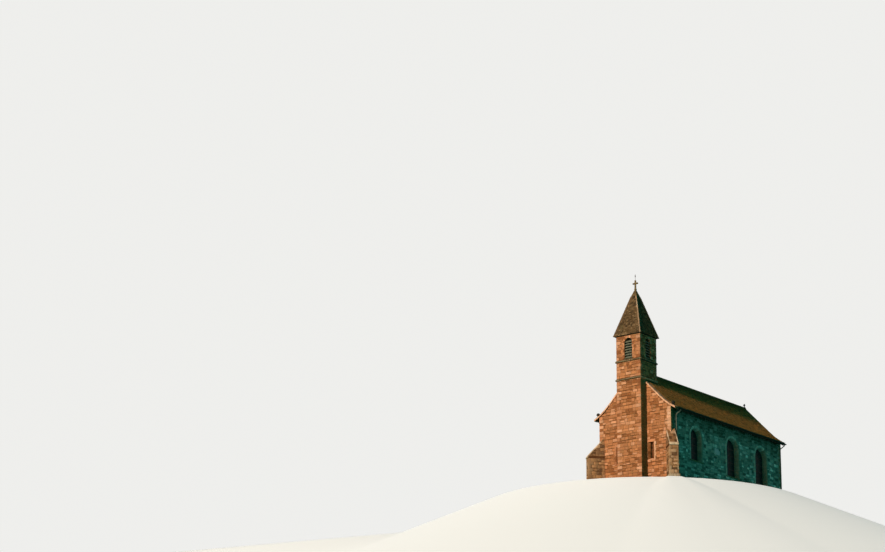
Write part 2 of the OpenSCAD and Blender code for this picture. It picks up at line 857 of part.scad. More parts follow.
// A round pipe along a path of (x, z) points, in the plane y = 0
module swept_pipe(path, r) {
    n = len(path);
    rings = [
        for (i = [0 : n - 1])
            let (d = path[min(i + 1, n - 1)] - path[max(i - 1, 0)], u = [-d[1], d[0]] / norm(d))
            for (k = [0 : pipe_fn - 1])
                let (a = 360 * k / pipe_fn)
                [path[i][0] + r * cos(a) * u[0], r * sin(a), path[i][1] + r * cos(a) * u[1]]
    ];
    ends = [[for (k = [pipe_fn - 1 : -1 : 0]) k], [for (k = [0 : pipe_fn - 1]) (n - 1) * pipe_fn + k]];
    sides = [
        for (i = [0 : n - 2], k = [0 : pipe_fn - 1])
            let (k2 = (k + 1) % pipe_fn, p = i * pipe_fn, q = (i + 1) * pipe_fn)
            each [[p + k, q + k2, q + k], [p + k, p + k2, q + k2]]
    ];
    polyhedron(points = rings, faces = concat(ends, sides));
}

// A downpipe: outlet, swan neck, long upright, shoe and clips
module downpipe(y) {
    top = [gutter_x, gutter_z - gutter_r + gutter_t / 2];
    bend = top - [0, outlet_h + gutter_t / 2];
    knee = [pipe_x, bend[1] - swan_fall];
    foot = [pipe_x, shoe_z];
    shoe = [pipe_x + shoe_out, shoe_end_z];
    path = concat(
        [top], rounded(top, bend, knee, bend_l), rounded(bend, knee, foot, bend_l),
        rounded(knee, foot, shoe, bend_l), [shoe]
    );
    clip_gap = (knee[1] - foot[1] - 2 * pipe_r) / clip_count;
    translate([0, y, 0]) {
        swept_pipe(path, pipe_r);
        for (i = [0 : clip_count - 1])
            translate([0, 0, foot[1] + 2 * pipe_r + (i + 0.5) * clip_gap]) {
                translate([pipe_x, 0, 0]) cylinder(r = pipe_r + clip_t, h = clip_h, $fn = pipe_fn);
                translate([half_w, -clip_arm_w / 2, 0]) cube([pipe_gap + pipe_r, clip_arm_w, clip_h]);
            }
    }
}

module downpipes() {
    color("#5c625c") both_sides() for (y = [front_y + front_pipe_y, rear_y - rear_pipe_y]) downpipe(y);
}

// Dressed stones round a window, with a splayed reveal over the sill
module surround(i) {
    difference() {
        along_x(-glass_depth, surround_out) window_outline(i);
        reveal_cut(window_ws[i], sill_under(i) - cut, crown_at[i]);
        sill_body(i);
    }
}

module surrounds_right() {
    color("#7f8d80") for (i = windows) at_window(i) surround(i);
}

module surrounds_left() {
    mirror([1, 0, 0]) surrounds_right();
}

module window_sills() {
    color("#76806f") both_sides() for (i = windows) at_window(i) sill_body(i);
}

// Glazing that closes the whole hole, behind surround and sill
module glazing_right() {
    color("#1b2a2c") for (i = windows) at_window(i)
        along_x(-glass_depth - glass_t, -glass_depth) window_outline(i);
}

module glazing_left() {
    mirror([1, 0, 0]) glazing_right();
}

module front_glazing() {
    color("#1b2a2c") both_sides() translate([slit_x - slit_clear_w / 2, front_y + slit_glass_in, slit_foot_z])
        cube([slit_clear_w, glass_t, slit_h]);
}

module door_surround() {
    color("#7f8d80") along_y(rear_y - wall_t, rear_y + surround_out) difference() {
        arch_outline(door_w + 2 * surround_w, 0, door_crown_z + surround_w);
        arch_outline(door_w, -cut, door_crown_z);
    }
}

module door_sill() {
    color("#8f887c") translate([-door_w / 2, rear_y - wall_t, 0]) cube([door_w, wall_t, floor_h]);
}

// Upright boards under the round head, with three ledges on the inside
module door() {
    color("#5a4630") {
        along_y(door_face_y - door_t, door_face_y) arch_outline(door_w, floor_h, door_crown_z);
        for (z = ledge_zs)
            translate([-door_w / 2 + ledge_in, door_face_y - door_t - ledge_t, z])
                cube([door_w - 2 * ledge_in, ledge_t, ledge_h]);
    }
}

// A pointed strap across the boards, in front of a ledge
module hinge_strap() {
    along_y(door_face_y, door_face_y + iron_t)
        polygon([
            [-door_w / 2 + hinge_in, 0], [-door_w / 2 + hinge_l - hinge_w, 0],
            [-door_w / 2 + hinge_l, hinge_w / 2], [-door_w / 2 + hinge_l - hinge_w, hinge_w],
            [-door_w / 2 + hinge_in, hinge_w]
        ]);
}

module door_iron() {
    color("#2a2825") for (z = [ledge_zs[0], ledge_zs[2]])
        translate([0, 0, z + (ledge_h - hinge_w) / 2]) hinge_strap();
}

floor();
front_wall_left();
front_wall_right();
side_wall_left();
side_wall_right();
rear_wall();
tower_front_wall();
tower_rear_wall();
tower_left_wall();
tower_right_wall();
lower_string();
upper_string();
belfry_front_wall();
belfry_rear_wall();
belfry_left_wall();
belfry_right_wall();
belfry_sills();
louvres();
spire();
spire_hips();
spire_cap();
cross();
spire_rod();
roof_left();
roof_right();
rafter_feet_left();
rafter_feet_right();
ridge_tiles();
ridge_finial();
front_copings();
coping_knobs();
buttress_left();
buttress_right();
gutter_left();
gutter_right();
downpipes();
surrounds_left();
surrounds_right();
window_sills();
glazing_left();
glazing_right();
front_glazing();
door_surround();
door_sill();
door();
door_iron();
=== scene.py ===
# %% [markdown]
# # A small stone chapel
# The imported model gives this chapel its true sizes: walls, tower, spire, roofs, buttresses, windows and pipes.
# This lesson dresses that model with its stones, tiles, glass and ironwork, and lights it. The model is loaded
# first, because each new piece takes its place from it. All lengths are in metres, the front faces -Y, up is +Z.

# %% Load the chapel
import bpy, math
import numpy as np
from mathutils import Matrix, Vector


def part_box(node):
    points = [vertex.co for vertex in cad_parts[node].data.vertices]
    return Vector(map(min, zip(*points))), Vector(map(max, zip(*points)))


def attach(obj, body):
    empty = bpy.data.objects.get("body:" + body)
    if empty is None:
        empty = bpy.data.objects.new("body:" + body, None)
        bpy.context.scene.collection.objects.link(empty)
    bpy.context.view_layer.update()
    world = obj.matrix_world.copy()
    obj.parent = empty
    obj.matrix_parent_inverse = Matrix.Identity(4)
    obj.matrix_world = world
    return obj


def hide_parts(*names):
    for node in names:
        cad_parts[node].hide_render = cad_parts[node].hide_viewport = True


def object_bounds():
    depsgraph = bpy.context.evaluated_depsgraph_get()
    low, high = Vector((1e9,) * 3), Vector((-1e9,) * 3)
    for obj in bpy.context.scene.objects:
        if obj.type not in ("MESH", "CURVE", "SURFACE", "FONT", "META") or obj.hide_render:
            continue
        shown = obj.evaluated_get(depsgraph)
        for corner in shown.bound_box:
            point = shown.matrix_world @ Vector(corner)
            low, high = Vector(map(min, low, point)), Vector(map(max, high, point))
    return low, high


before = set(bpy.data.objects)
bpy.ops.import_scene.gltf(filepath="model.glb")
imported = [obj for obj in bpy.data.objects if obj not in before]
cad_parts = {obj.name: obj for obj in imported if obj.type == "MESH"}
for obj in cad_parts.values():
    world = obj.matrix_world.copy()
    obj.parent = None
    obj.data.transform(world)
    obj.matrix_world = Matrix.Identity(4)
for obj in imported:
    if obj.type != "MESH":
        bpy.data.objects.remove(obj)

cad_box = [list(map(float, corner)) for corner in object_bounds()]
box_low, box_high = (np.array(corner) for corner in cad_box)
print("chapel", [round(b - a, 2) for a, b in zip(*cad_box)], "m,", len(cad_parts), "parts")

# %% [markdown]
# The chapel stands on a hill and is seen from far below, with a long lens, from its right front corner. A lens of
# 98 mm from 210 m away keeps the upright lines nearly parallel. A camera could be aimed with a constraint, but
# three plain angles are easier to check against straight edges, so its axes are written out as a matrix.

# %% Camera
yaw, pitch, roll = math.radians(-39.178), math.radians(16.938), math.radians(0.577)
ahead = Vector((math.sin(yaw) * math.cos(pitch), math.cos(yaw) * math.cos(pitch), math.sin(pitch)))
level = Vector((math.cos(yaw), -math.sin(yaw), 0))
upward = level.cross(ahead)
axes = Matrix((math.cos(roll) * level + math.sin(roll) * upward,
               math.cos(roll) * upward - math.sin(roll) * level, -ahead)).transposed()
camera = bpy.data.objects.new("camera", bpy.data.cameras.new("camera"))
camera.matrix_world = Matrix.Translation((110.983, -169.958, -41.625)) @ axes.to_4x4()
camera.data.sensor_width, camera.data.lens, camera.data.clip_end = 36, 97.63, 1500
bpy.context.scene.collection.objects.link(camera)
bpy.context.scene.camera = camera
print("camera", [round(c, 1) for c in camera.location], "lens", camera.data.lens)

# %% [markdown]
# Most of this file wires shader nodes, and each node takes three or four lines when it is set up by hand. These
# small helpers make a node in the tree that is being wired, set its options, and link or fill in its inputs, so
# that a material below reads as a list of what it does.

# %% Helpers for shader nodes
def open_tree(of):
    """Makes the emptied node tree of a material or world the one that the helpers work in."""
    global tree
    of.use_nodes = True
    tree = of.node_tree
    tree.nodes.clear()


def fill(sockets, values):
    """Sets sockets by name. A value is a number, a colour or another node's output."""
    for key, value in values.items():
        if isinstance(value, bpy.types.NodeSocket):
            tree.links.new(value, sockets[key])
        else:
            sockets[key].default_value = (*value, 1.0) if sockets[key].type == "RGBA" else value


def put(kind, inputs=None, **options):
    node = tree.nodes.new("ShaderNode" + kind)
    for option, value in options.items():
        setattr(node, option, value)
    fill(node.inputs, inputs or {})
    return node


def maths(operation, a, b=0.0):
    return put("Math", {0: a, 1: b}, operation=operation).outputs[0]


def plus(a, b):
    return maths("ADD", a, b)


def minus(a, b):
    return maths("SUBTRACT", a, b)


def times(a, b):
    return maths("MULTIPLY", a, b)


def blend(amount, under, over, kind="MIX"):
    """One colour laid over another, or multiplied with it."""
    return put("Mix", {0: amount, 6: under, 7: over}, data_type="RGBA", blend_type=kind).outputs[2]


def fade(value, start, end, low=0.0, high=1.0):
    """The value between start and end becomes a number between low and high."""
    return put("MapRange", {0: value, 1: start, 2: end, 3: low, 4: high}, clamp=True).outputs[0]


def noise(place, size, detail, **more):
    return put("TexNoise", {"Vector": place, "Scale": size, "Detail": detail, **more}).outputs[0]


def own_place():
    """A point's place on the chapel itself."""
    return put("TexCoord").outputs["Object"]


def number_of(label):
    """A number that a mesh carries on its faces or points."""
    return put("Attribute", attribute_name=label).outputs["Fac"]


def looked_at():
    """1 where the camera, a mirror or glass looks, and 0 for light on its way between surfaces."""
    ray = put("LightPath").outputs
    return maths("MAXIMUM", ray["Is Camera Ray"], maths("MAXIMUM", ray["Is Glossy Ray"], ray["Is Transmission Ray"]))


# %% [markdown]
# The floor is a pale studio floor that is flat under the chapel. Towards the camera it falls away as a hillside,
# because a flat floor would hide the chapel from a camera that stands lower than it. The crest of that slope lies
# where the ground cuts off the foot of the walls in this view. A round grid of points gives the shape, with close
# rings near the crest and wide ones far out. Its paint is pale only to the camera, to mirrors and to glass. To light
# on its way between surfaces it is a dark green-blue, which tints the shade: plain light would show greyer stone.

# %% Floor
crest_middle, crest_radius = np.array((-5.70, 1.735)), 14.42
nook_corner, nook_out, nook_half = np.array((3.6, -8.11)), 1.25, 0.52      # flat ground under the right buttress
towards_camera, side_start, side_span = np.array((0.547, -0.837)), 0.35, 0.55      # behind the chapel it stays flat
fall, softness, below_walls, spoke_count = math.tan(math.radians(24)), 0.006, 0.004, 576


def ground_height(points):
    from_middle = np.linalg.norm(points - crest_middle, axis=1)
    past_crest = from_middle - crest_radius
    out, across = ((points - nook_corner) @ np.array(axis) / math.sqrt(2) for axis in ((1, -1), (1, 1)))
    past_nook = np.hypot(np.clip(out - nook_out, 0, None), np.clip(np.abs(across) - nook_half, 0, None))
    past = np.where(out < 0, past_crest, np.minimum(past_crest, past_nook)).clip(0, None)
    facing_camera = (points - crest_middle) @ towards_camera / np.maximum(from_middle, 1e-6)
    share = np.clip((facing_camera + side_start) / side_span, 0, 1)
    return -below_walls - fall * share * (np.sqrt(past ** 2 + softness) - math.sqrt(softness))


rings = np.concatenate((np.linspace(0.5, 12.5, 13), np.arange(13, 18, 0.08), np.geomspace(18.3, 170, 24)))
turns = np.arange(spoke_count) * 2 * math.pi / spoke_count
spokes = np.stack((np.cos(turns), np.sin(turns)), 1)
flat = (crest_middle + rings[:, None, None] * spokes[None]).reshape(-1, 2)
floor_points = np.column_stack((flat, ground_height(flat)))
index = np.arange(len(flat)).reshape(len(rings), spoke_count)
inner, outer = index[:-1], index[1:]
floor_faces = np.stack((inner, outer, np.roll(outer, -1, 1), np.roll(inner, -1, 1)), -1).reshape(-1, 4)
floor_mesh = bpy.data.meshes.new("floor_stage")
floor_mesh.from_pydata(floor_points.tolist(), [], floor_faces.tolist() + [index[0].tolist()])
floor_mesh.shade_smooth()
floor_stage = bpy.data.objects.new("floor_stage", floor_mesh)
bpy.context.scene.collection.objects.link(floor_stage)
print("floor", len(floor_mesh.polygons), "faces, lowest", round(float(floor_points[:, 2].min()), 1), "m")

# %% Floor paint
floor_paint = bpy.data.materials.new("floor_paint")
open_tree(floor_paint)
seen = looked_at()
paint = put("BsdfDiffuse", {"Color": blend(seen, (0.050, 0.27, 0.27), (0.80, 0.79, 0.76))})
glow = put("Emission", {"Color": (0.94, 0.93, 0.90), "Strength": times(seen, 0.42)})
both = put("AddShader", {0: paint.outputs[0], 1: glow.outputs[0]})
put("OutputMaterial", {"Surface": both.outputs[0]})
floor_mesh.materials.append(floor_paint)
print("floor paint", len(tree.nodes), "nodes")

# %% [markdown]
# A low, slightly soft sun stands nearly straight in front of the chapel. It lights the front and leaves the side in
# shade, and the spire throws a dark band over the roof. The sky around it is dim and green-blue, brightest near the
# horizon, so the shaded wall reads as cool stone while the shaded roof stays dark. A second, very soft lamp behind
# on the left lights the sides that this view doesn't show, and a faint warm one stands for light thrown back by the
# sunny ground in front. The background is pale only to the camera, to mirrors and to glass, so it adds no light.

# %% Lamps
def sun_lamp(name, towards, energy, width, colour):
    lamp = bpy.data.lights.new(name, "SUN")
    lamp.energy, lamp.angle, lamp.color = energy, math.radians(width), colour
    holder = bpy.data.objects.new(name, lamp)
    holder.rotation_euler = Vector(towards).to_track_quat("Z", "Y").to_euler()
    bpy.context.scene.collection.objects.link(holder)


sun_lamp("low_sun", (-0.034, -0.974, 0.225), 3.0, 3.5, (1.0, 0.86, 0.72))
sun_lamp("back_lamp", (-0.75, 0.55, 0.42), 1.3, 40, (0.92, 0.97, 1.0))
sun_lamp("warm_bounce", (0.14, -0.98, 0.03), 0.16, 15, (1.0, 0.66, 0.32))

# %% Sky and background
world = bpy.data.worlds.new("studio")
bpy.context.scene.world = world
bpy.context.scene.view_settings.view_transform = "Standard"
open_tree(world)
seen = looked_at()
upwards = put("SeparateXYZ", {0: put("TexCoord").outputs["Generated"]}).outputs[2]
dim_sky = put("Background", {"Color": (0.040, 0.40, 0.41), "Strength": maths("POWER", fade(upwards, 1.0, 0.0), 3.0)})
backdrop = put("Background", {"Color": (0.86, 0.86, 0.84), "Strength": 1.0})
either = put("MixShader", {0: seen, 1: dim_sky.outputs[0], 2: backdrop.outputs[0]})
put("OutputWorld", {"Surface": either.outputs[0]})
print("sky", len(tree.nodes), "nodes, view", bpy.context.scene.view_settings.view_transform)

# %% [markdown]
# Old masonry is never one colour. Each stone came from another part of the quarry, so it is a little darker, paler
# or redder than its neighbour. Every stone and tile made below carries a number called tone, a random value from
# 0 to 1. This group turns that number into a colour: most stones take the main colour, some the dark one, and some
# the pale one. A texture could give such patches too, but they would cross the joints.

# %% Helpers for node groups
def new_group(name, inputs, outputs):
    """Opens an empty node group. Its inputs come with their values, its outputs with their kinds."""
    global tree
    tree = bpy.data.node_groups.new(name, "ShaderNodeTree")
    for label, value in inputs.items():
        kind = "Float" if isinstance(value, float) else "Color"
        socket = tree.interface.new_socket(label, in_out="INPUT", socket_type="NodeSocket" + kind)
        socket.default_value = value if kind == "Float" else (*value, 1.0)
    for label, kind in outputs.items():
        tree.interface.new_socket(label, in_out="OUTPUT", socket_type="NodeSocket" + kind)
    return tree, tree.nodes.new("NodeGroupInput").outputs, tree.nodes.new("NodeGroupOutput").inputs


def give(result, outputs):
    """Links a group's outputs, and says how large the group is."""
    fill(result, outputs)
    print("group", tree.name, "with", len(tree.nodes), "nodes")


def grey_of(value):
    return put("CombineColor", {channel: value for channel in range(3)}).outputs[0]


grey = (0.5, 0.5, 0.5)

# %% Group: tones of the pieces
piece_tones, given, result = new_group(
    "Piece tones", {"Tone": 0.5, "Main": grey, "Dark": grey, "Pale": grey, "Dark share": 0.15, "Pale share": 0.15,
                    "Spread": 0.25}, {"Colour": "Color", "Second tone": "Float"})
is_dark = fade(minus(given["Dark share"], given["Tone"]), 0.0, 0.05)
is_pale = fade(minus(plus(given["Tone"], given["Pale share"]), 1.0), 0.0, 0.05)
colour = blend(is_pale, blend(is_dark, given["Main"], given["Dark"]), given["Pale"])
second = maths("FRACT", times(given["Tone"], 37.7))                 # another random number out of the same one
bright = grey_of(plus(times(minus(second, 0.5), given["Spread"]), 1.0))
give(result, {"Colour": blend(1.0, colour, bright, "MULTIPLY"), "Second tone": second})

# %% [markdown]
# Sandstone, fired clay and rusty iron all have a grain: coarse mottling as wide as a hand, and pores of a few
# millimetres. The group mixes two noise textures of different size. It gives a factor that lightens and darkens
# the colour, and a height for the material's own Bump node.

# %% Group: grain
grain, given, result = new_group("Grain", {"Mottle size": 4.0, "Pore size": 60.0, "Contrast": 0.3},
                                 {"Factor": "Color", "Height": "Float", "Mottle": "Float"})
place = own_place()
mottle = noise(place, given["Mottle size"], 5.0, Roughness=0.6)
pores = noise(place, given["Pore size"], 3.0, Roughness=0.65)
mixed = plus(times(mottle, 0.65), times(pores, 0.35))
factor = plus(1.0, times(minus(mixed, 0.5), times(given["Contrast"], 4.0)))
give(result, {"Factor": grey_of(factor), "Height": mixed, "Mottle": mottle})

# %% [markdown]
# Rain, splashed soil and lichen age every outer surface, and they follow simple rules. Damp soil stains the lowest
# stones, water leaves long upright streaks, and lichen grows in round patches. The group also paints shade: above a
# given height a near-black green stands for the shade under the eaves and the spire's shadow near the ridge, and
# faces that look to the right, away from the sun, are painted a dark olive below a given height. The height above
# ground comes from the object coordinates, so the same group ages walls, sills and tiles, each with its own amounts.
# Whether some of this dark is also growth can't be told, so its amounts are a guess.

# %% Group: weather and painted shade
weather_and_painted_shade, given, result = new_group("Weather and painted shade", {
    "Colour": grey, "Damp top": 0.8, "Damp": 0.5, "Damp colour": (0.05, 0.05, 0.03), "Streaks": 0.3,
    "Streak colour": (0.06, 0.06, 0.05), "Lichen": 0.2, "Lichen colour": (0.35, 0.35, 0.2), "Painted shade above": 50.0,
    "Painted shade side": 0.0, "Painted shade below": 8.8}, {"Colour": "Color"})
place = own_place()
height = put("SeparateXYZ", {0: place}).outputs[2]
drift = noise(place, 1.3, 4.0)
damp = times(fade(minus(height, times(drift, 0.9)), given["Damp top"], -0.5), given["Damp"])
run_off = put("Mapping", {"Vector": place, "Scale": (5.0, 5.0, 0.35)}).outputs[0]
streaks = times(fade(noise(run_off, 1.0, 5.0), 0.52, 0.72), given["Streaks"])
patches = times(fade(noise(place, 2.2, 8.0, Roughness=0.7), 0.58, 0.66), given["Lichen"])
# A near-black green above a given height: painted shade under the eaves, and the spire's shadow near the ridge.
painted_shade_above = times(fade(minus(height, plus(given["Painted shade above"], times(drift, 1.0))), -0.9, 0.7), 0.94)
# A dark olive on faces that look to the right, below a given height: painted shade.
sideways = put("SeparateXYZ", {0: put("NewGeometry").outputs["Normal"]}).outputs[0]
painted_shade_side = times(times(fade(sideways, 0.75, 0.95), maths("LESS_THAN", height, given["Painted shade below"])), given["Painted shade side"])
colour = given["Colour"]
for amount, stain in ((damp, given["Damp colour"]), (streaks, given["Streak colour"]),
                      (patches, given["Lichen colour"]), (painted_shade_above, (0.026, 0.046, 0.016)),
                      (painted_shade_side, (0.13, 0.125, 0.045))):
    colour = blend(amount, colour, stain)
give(result, {"Colour": colour})

# %% [markdown]
# Corners catch every knock and every drop of rain, so the rim of a stone differs from its middle. The pieces below
# carry a second number, rim, which is 1 at their edges and 0 in the middle. The group breaks it up with noise and
# lays the rim's own colour over the stone. On the string courses and in the window reveals the rim marks painted
# highlight and painted shade instead of wear.

# %% Group: worn rims and painted rim light
rim_wear_and_light, given, result = new_group("Rim wear and painted light", {"Colour": grey, "Rim colour": grey, "Amount": 0.4},
                                    {"Colour": "Color", "Mask": "Float"})
rim = number_of("rim")
mask = times(times(rim, fade(noise(own_place(), 14.0, 4.0), 0.35, 0.6)), given["Amount"])
give(result, {"Colour": blend(mask, given["Colour"], given["Rim colour"]), "Mask": mask})

# %% [markdown]
# One recipe serves all stone and fired clay: tone by piece, grain, rims with wear and painted light, weather with
# painted shade, and a bump from the same grain. What differs is only the numbers, so the walls stay related to each
# other, as stones from one quarry are.
# The Specular level is zero, since rough stone has no shine, not even where it is seen at a flat angle. Parts that
# aren't built from single pieces have no tone of their own, so a cell pattern the size of a stone stands in for it.
# Where a stain is given as a pair, the first number is its amount and the second its colour.

# %% Finish for stone and clay
def new_finish(name, **sockets):
    """Opens a material with its Principled shader, whose plain sockets are set by name."""
    global tree
    finish = bpy.data.materials.new(name)
    finish.use_nodes = True
    tree = finish.node_tree
    shader = tree.nodes["Principled BSDF"].inputs
    fill(shader, {key.replace("_", " "): value for key, value in sockets.items()})
    return finish, shader


def use_group(group, inputs):
    node = put("Group", node_tree=group)
    fill(node.inputs, inputs)
    return node.outputs


def raised(strength, depth, height):
    return put("Bump", {"Strength": strength, "Distance": depth, "Height": height}).outputs[0]


def amount_and_colour(stain, colour):
    return stain if isinstance(stain, tuple) else (stain, colour)


# Three arguments set painted shade in the weather group: the height above which it darkens the stone, and the amount
# and the height limit of the dark olive on faces that look to the right.
def stone_finish(name, main, dark, pale, dark_share=0.16, pale_share=0.16, spread=0.25, mottle=4.0, pores=60.0,
                 contrast=0.28, rim=grey, rim_amount=0.3, damp_top=0.7, damp=0.45, streaks=0.25, lichen=0.2,
                 painted_shade_above=50.0, painted_shade_side=0.0, painted_shade_below=8.8, rough=0.92, bump=0.5, depth=0.006, pieces=True):
    finish, shader = new_finish(name, Roughness=rough, Specular_IOR_Level=0.0)
    if pieces:
        tone = number_of("tone")
    else:
        cells = put("TexVoronoi", {"Vector": own_place(), "Scale": 3.0})
        tone = put("SeparateColor", {0: cells.outputs["Color"]}).outputs[0]
    toned = use_group(piece_tones, {"Tone": tone, "Main": main, "Dark": dark, "Pale": pale,
                                    "Dark share": dark_share, "Pale share": pale_share, "Spread": spread})
    grained = use_group(grain, {"Mottle size": mottle, "Pore size": pores, "Contrast": contrast})
    colour = blend(1.0, toned["Colour"], grained["Factor"], "MULTIPLY")
    if pieces:
        colour = use_group(rim_wear_and_light, {"Colour": colour, "Rim colour": rim, "Amount": rim_amount})[0]
    stains_and_shade = {"Colour": colour, "Damp top": damp_top, "Painted shade above": painted_shade_above, "Painted shade side": painted_shade_side,
              "Painted shade below": painted_shade_below}
    for amount_label, label, stain, usual in (("Damp", "Damp colour", damp, (0.05, 0.05, 0.03)),
                                              ("Streaks", "Streak colour", streaks, (0.08, 0.07, 0.05)),
                                              ("Lichen", "Lichen colour", lichen, (0.3, 0.3, 0.18))):
        stains_and_shade[amount_label], stains_and_shade[label] = amount_and_colour(stain, usual)
    aged_and_shaded = use_group(weather_and_painted_shade, stains_and_shade)
    fill(shader, {"Base Color": aged_and_shaded["Colour"], "Normal": raised(bump, depth, grained["Height"]),
                  "Roughness": fade(grained["Mottle"], 0.3, 0.7, rough - 0.12, min(1.0, rough + 0.05))})
    return finish


# %% [markdown]
# The front is a warm, salmon-coloured sandstone with brown-orange stones in it, paler pink stones at the corners
# and a light raking coping. The sides are a grey-buff rubble, and the dressed stones round the windows are paler.
# The mortar is darker than the stones, because the joints are washed out and lie in shade. Each finish is named by
# its three colours, main, dark and pale, and then only by what differs from the recipe's usual values.

# %% Stone colours of the front and the tower
# On the ashlar and the pink quoins, faces that look to the right are painted a dark olive below 8.8 m: painted shade.
ashlar = stone_finish(
    "salmon_ashlar", (0.53, 0.190, 0.072), (0.30, 0.092, 0.028), (0.70, 0.300, 0.150), dark_share=0.22, spread=0.34,
    rim=(0.64, 0.32, 0.17), damp_top=0.9, damp=(0.3, (0.22, 0.10, 0.04)), streaks=(0.22, (0.24, 0.10, 0.045)),
    lichen=(0.30, (0.38, 0.215, 0.075)), painted_shade_side=0.9)
quoin_stone = stone_finish(
    "pink_quoins", (0.57, 0.220, 0.100), (0.34, 0.115, 0.045), (0.70, 0.32, 0.175), dark_share=0.26, pale_share=0.2,
    spread=0.4, rim=(0.66, 0.32, 0.17), rim_amount=0.2, damp=0.3, streaks=(0.15, (0.35, 0.17, 0.08)),
    lichen=(0.12, (0.45, 0.30, 0.15)), painted_shade_side=0.9)
# Faces that look to the right are painted a dark olive at every height: painted shade.
pale_quoins = stone_finish(
    "pale_quoins", (0.74, 0.36, 0.20), (0.62, 0.28, 0.15), (0.82, 0.44, 0.27), rim=(0.82, 0.50, 0.32), damp=0.3,
    streaks=(0.15, (0.40, 0.21, 0.11)), lichen=(0.12, (0.50, 0.34, 0.18)), painted_shade_side=0.95, painted_shade_below=50.0)
worn_corners = stone_finish(
    "worn_corners", (0.50, 0.255, 0.125), (0.34, 0.155, 0.070), (0.66, 0.38, 0.21), dark_share=0.25, spread=0.4,
    rim=(0.80, 0.56, 0.38), rim_amount=0.7, damp=0.3, streaks=(0.3, (0.25, 0.16, 0.09)),
    lichen=(0.25, (0.36, 0.28, 0.15)))
# The splays of the narrow windows are painted a dark brown: painted shade in the recess.
painted_shade_splay = stone_finish(
    "painted_shade_splay", (0.25, 0.090, 0.030), (0.19, 0.065, 0.022), (0.31, 0.12, 0.045), rim=(0.30, 0.12, 0.05), damp=0.2,
    streaks=0.3, lichen=0.1)
# The string stone is painted dark as shade below its top edge, and its top edge is painted pale as lit.
string_stone = stone_finish(
    "string_stone", (0.070, 0.044, 0.018), (0.055, 0.036, 0.017), (0.72, 0.38, 0.19), rim=(0.62, 0.46, 0.27),
    rim_amount=0.95, streaks=(0.35, (0.16, 0.10, 0.05)), lichen=(0.3, (0.30, 0.24, 0.12)))
coping_stone = stone_finish(
    "coping_stone", (0.86, 0.44, 0.26), (0.76, 0.37, 0.21), (0.90, 0.52, 0.34), rim=(0.90, 0.55, 0.36),
    streaks=(0.2, (0.20, 0.13, 0.07)), lichen=(0.25, (0.35, 0.27, 0.14)))
buttress_stone = stone_finish(
    "buttress_stone", (0.42, 0.190, 0.080), (0.16, 0.070, 0.032), (0.62, 0.33, 0.18), dark_share=0.32,
    pale_share=0.24, spread=0.5, rim=(0.52, 0.33, 0.19), damp=(0.35, (0.12, 0.08, 0.04)),
    streaks=(0.3, (0.15, 0.10, 0.055)), lichen=(0.3, (0.30, 0.24, 0.13)))
drip_stone = stone_finish(
    "drip_stone", (0.80, 0.53, 0.34), (0.66, 0.42, 0.26), (0.88, 0.62, 0.43), rim=(0.88, 0.66, 0.48), streaks=0.2,
    lichen=0.25)
print("stone finishes", len(bpy.data.materials) - 1)

# %% Stone colours of the sides
# From about 4.9 m up the rubble is painted a near-black green: painted shade under the eaves, which also darkens the
# upper rear gable.
rubble = stone_finish(
    "field_rubble", (0.40, 0.36, 0.27), (0.13, 0.145, 0.105), (0.80, 0.66, 0.54), dark_share=0.30, pale_share=0.24,
    spread=0.8, painted_shade_above=4.9, rim=(0.46, 0.46, 0.34), damp=(0.4, (0.12, 0.15, 0.11)), streaks=(0.3, (0.16, 0.20, 0.15)),
    lichen=(0.25, (0.50, 0.50, 0.34)), bump=0.7, depth=0.010)
# Faces of the rear corners and doorway that look to the right are painted a dark olive: painted shade.
dressed = stone_finish(
    "dressed_stone", (0.72, 0.56, 0.41), (0.58, 0.44, 0.32), (0.84, 0.68, 0.52), rim=(0.80, 0.68, 0.52), damp=0.3,
    streaks=(0.3, (0.30, 0.25, 0.17)), lichen=(0.25, (0.60, 0.52, 0.32)), painted_shade_side=0.8, painted_shade_below=50.0)
# The rim colour is painted shade inside the window reveals, and the dark stones are the far jambs' painted shade.
window_stone = stone_finish(
    "window_stone", (0.60, 0.49, 0.37), (0.30, 0.26, 0.17), (0.74, 0.61, 0.47), rim=(0.20, 0.145, 0.060),
    rim_amount=0.95, damp=0.3, streaks=(0.3, (0.30, 0.25, 0.17)), lichen=(0.25, (0.56, 0.50, 0.32)))
sill_stone = stone_finish(
    "mossy_sill", (0.20, 0.185, 0.080), (0.13, 0.13, 0.050), (0.34, 0.29, 0.17), rim=(0.30, 0.27, 0.13), damp=0.2,
    streaks=0.3, lichen=(0.35, (0.16, 0.21, 0.05)))
print("stone finishes", len(bpy.data.materials) - 1)

# %% Mortar, floor, cap, knobs and patch
# Faces of the model's walls that look to the right are painted a dark olive below 8.8 m: painted shade.
warm_mortar = stone_finish(
    "warm_mortar", (0.15, 0.055, 0.021), (0.10, 0.036, 0.014), (0.23, 0.090, 0.038), mottle=7.0, pores=110.0,
    lichen=(0.2, (0.22, 0.13, 0.06)), bump=0.8, damp=(0.45, (0.15, 0.08, 0.04)), painted_shade_side=0.9, pieces=False)
cool_mortar = stone_finish(
    "cool_mortar", (0.22, 0.24, 0.175), (0.15, 0.165, 0.12), (0.30, 0.32, 0.24), mottle=7.0, pores=110.0,
    lichen=(0.2, (0.2, 0.25, 0.17)), bump=0.8, damp=(0.45, (0.05, 0.07, 0.05)), pieces=False)
floor_stone = stone_finish(
    "floor_stone", (0.34, 0.31, 0.26), (0.26, 0.24, 0.20), (0.42, 0.39, 0.33), damp=0.1, streaks=0.0, lichen=0.05,
    rough=0.75, pieces=False)
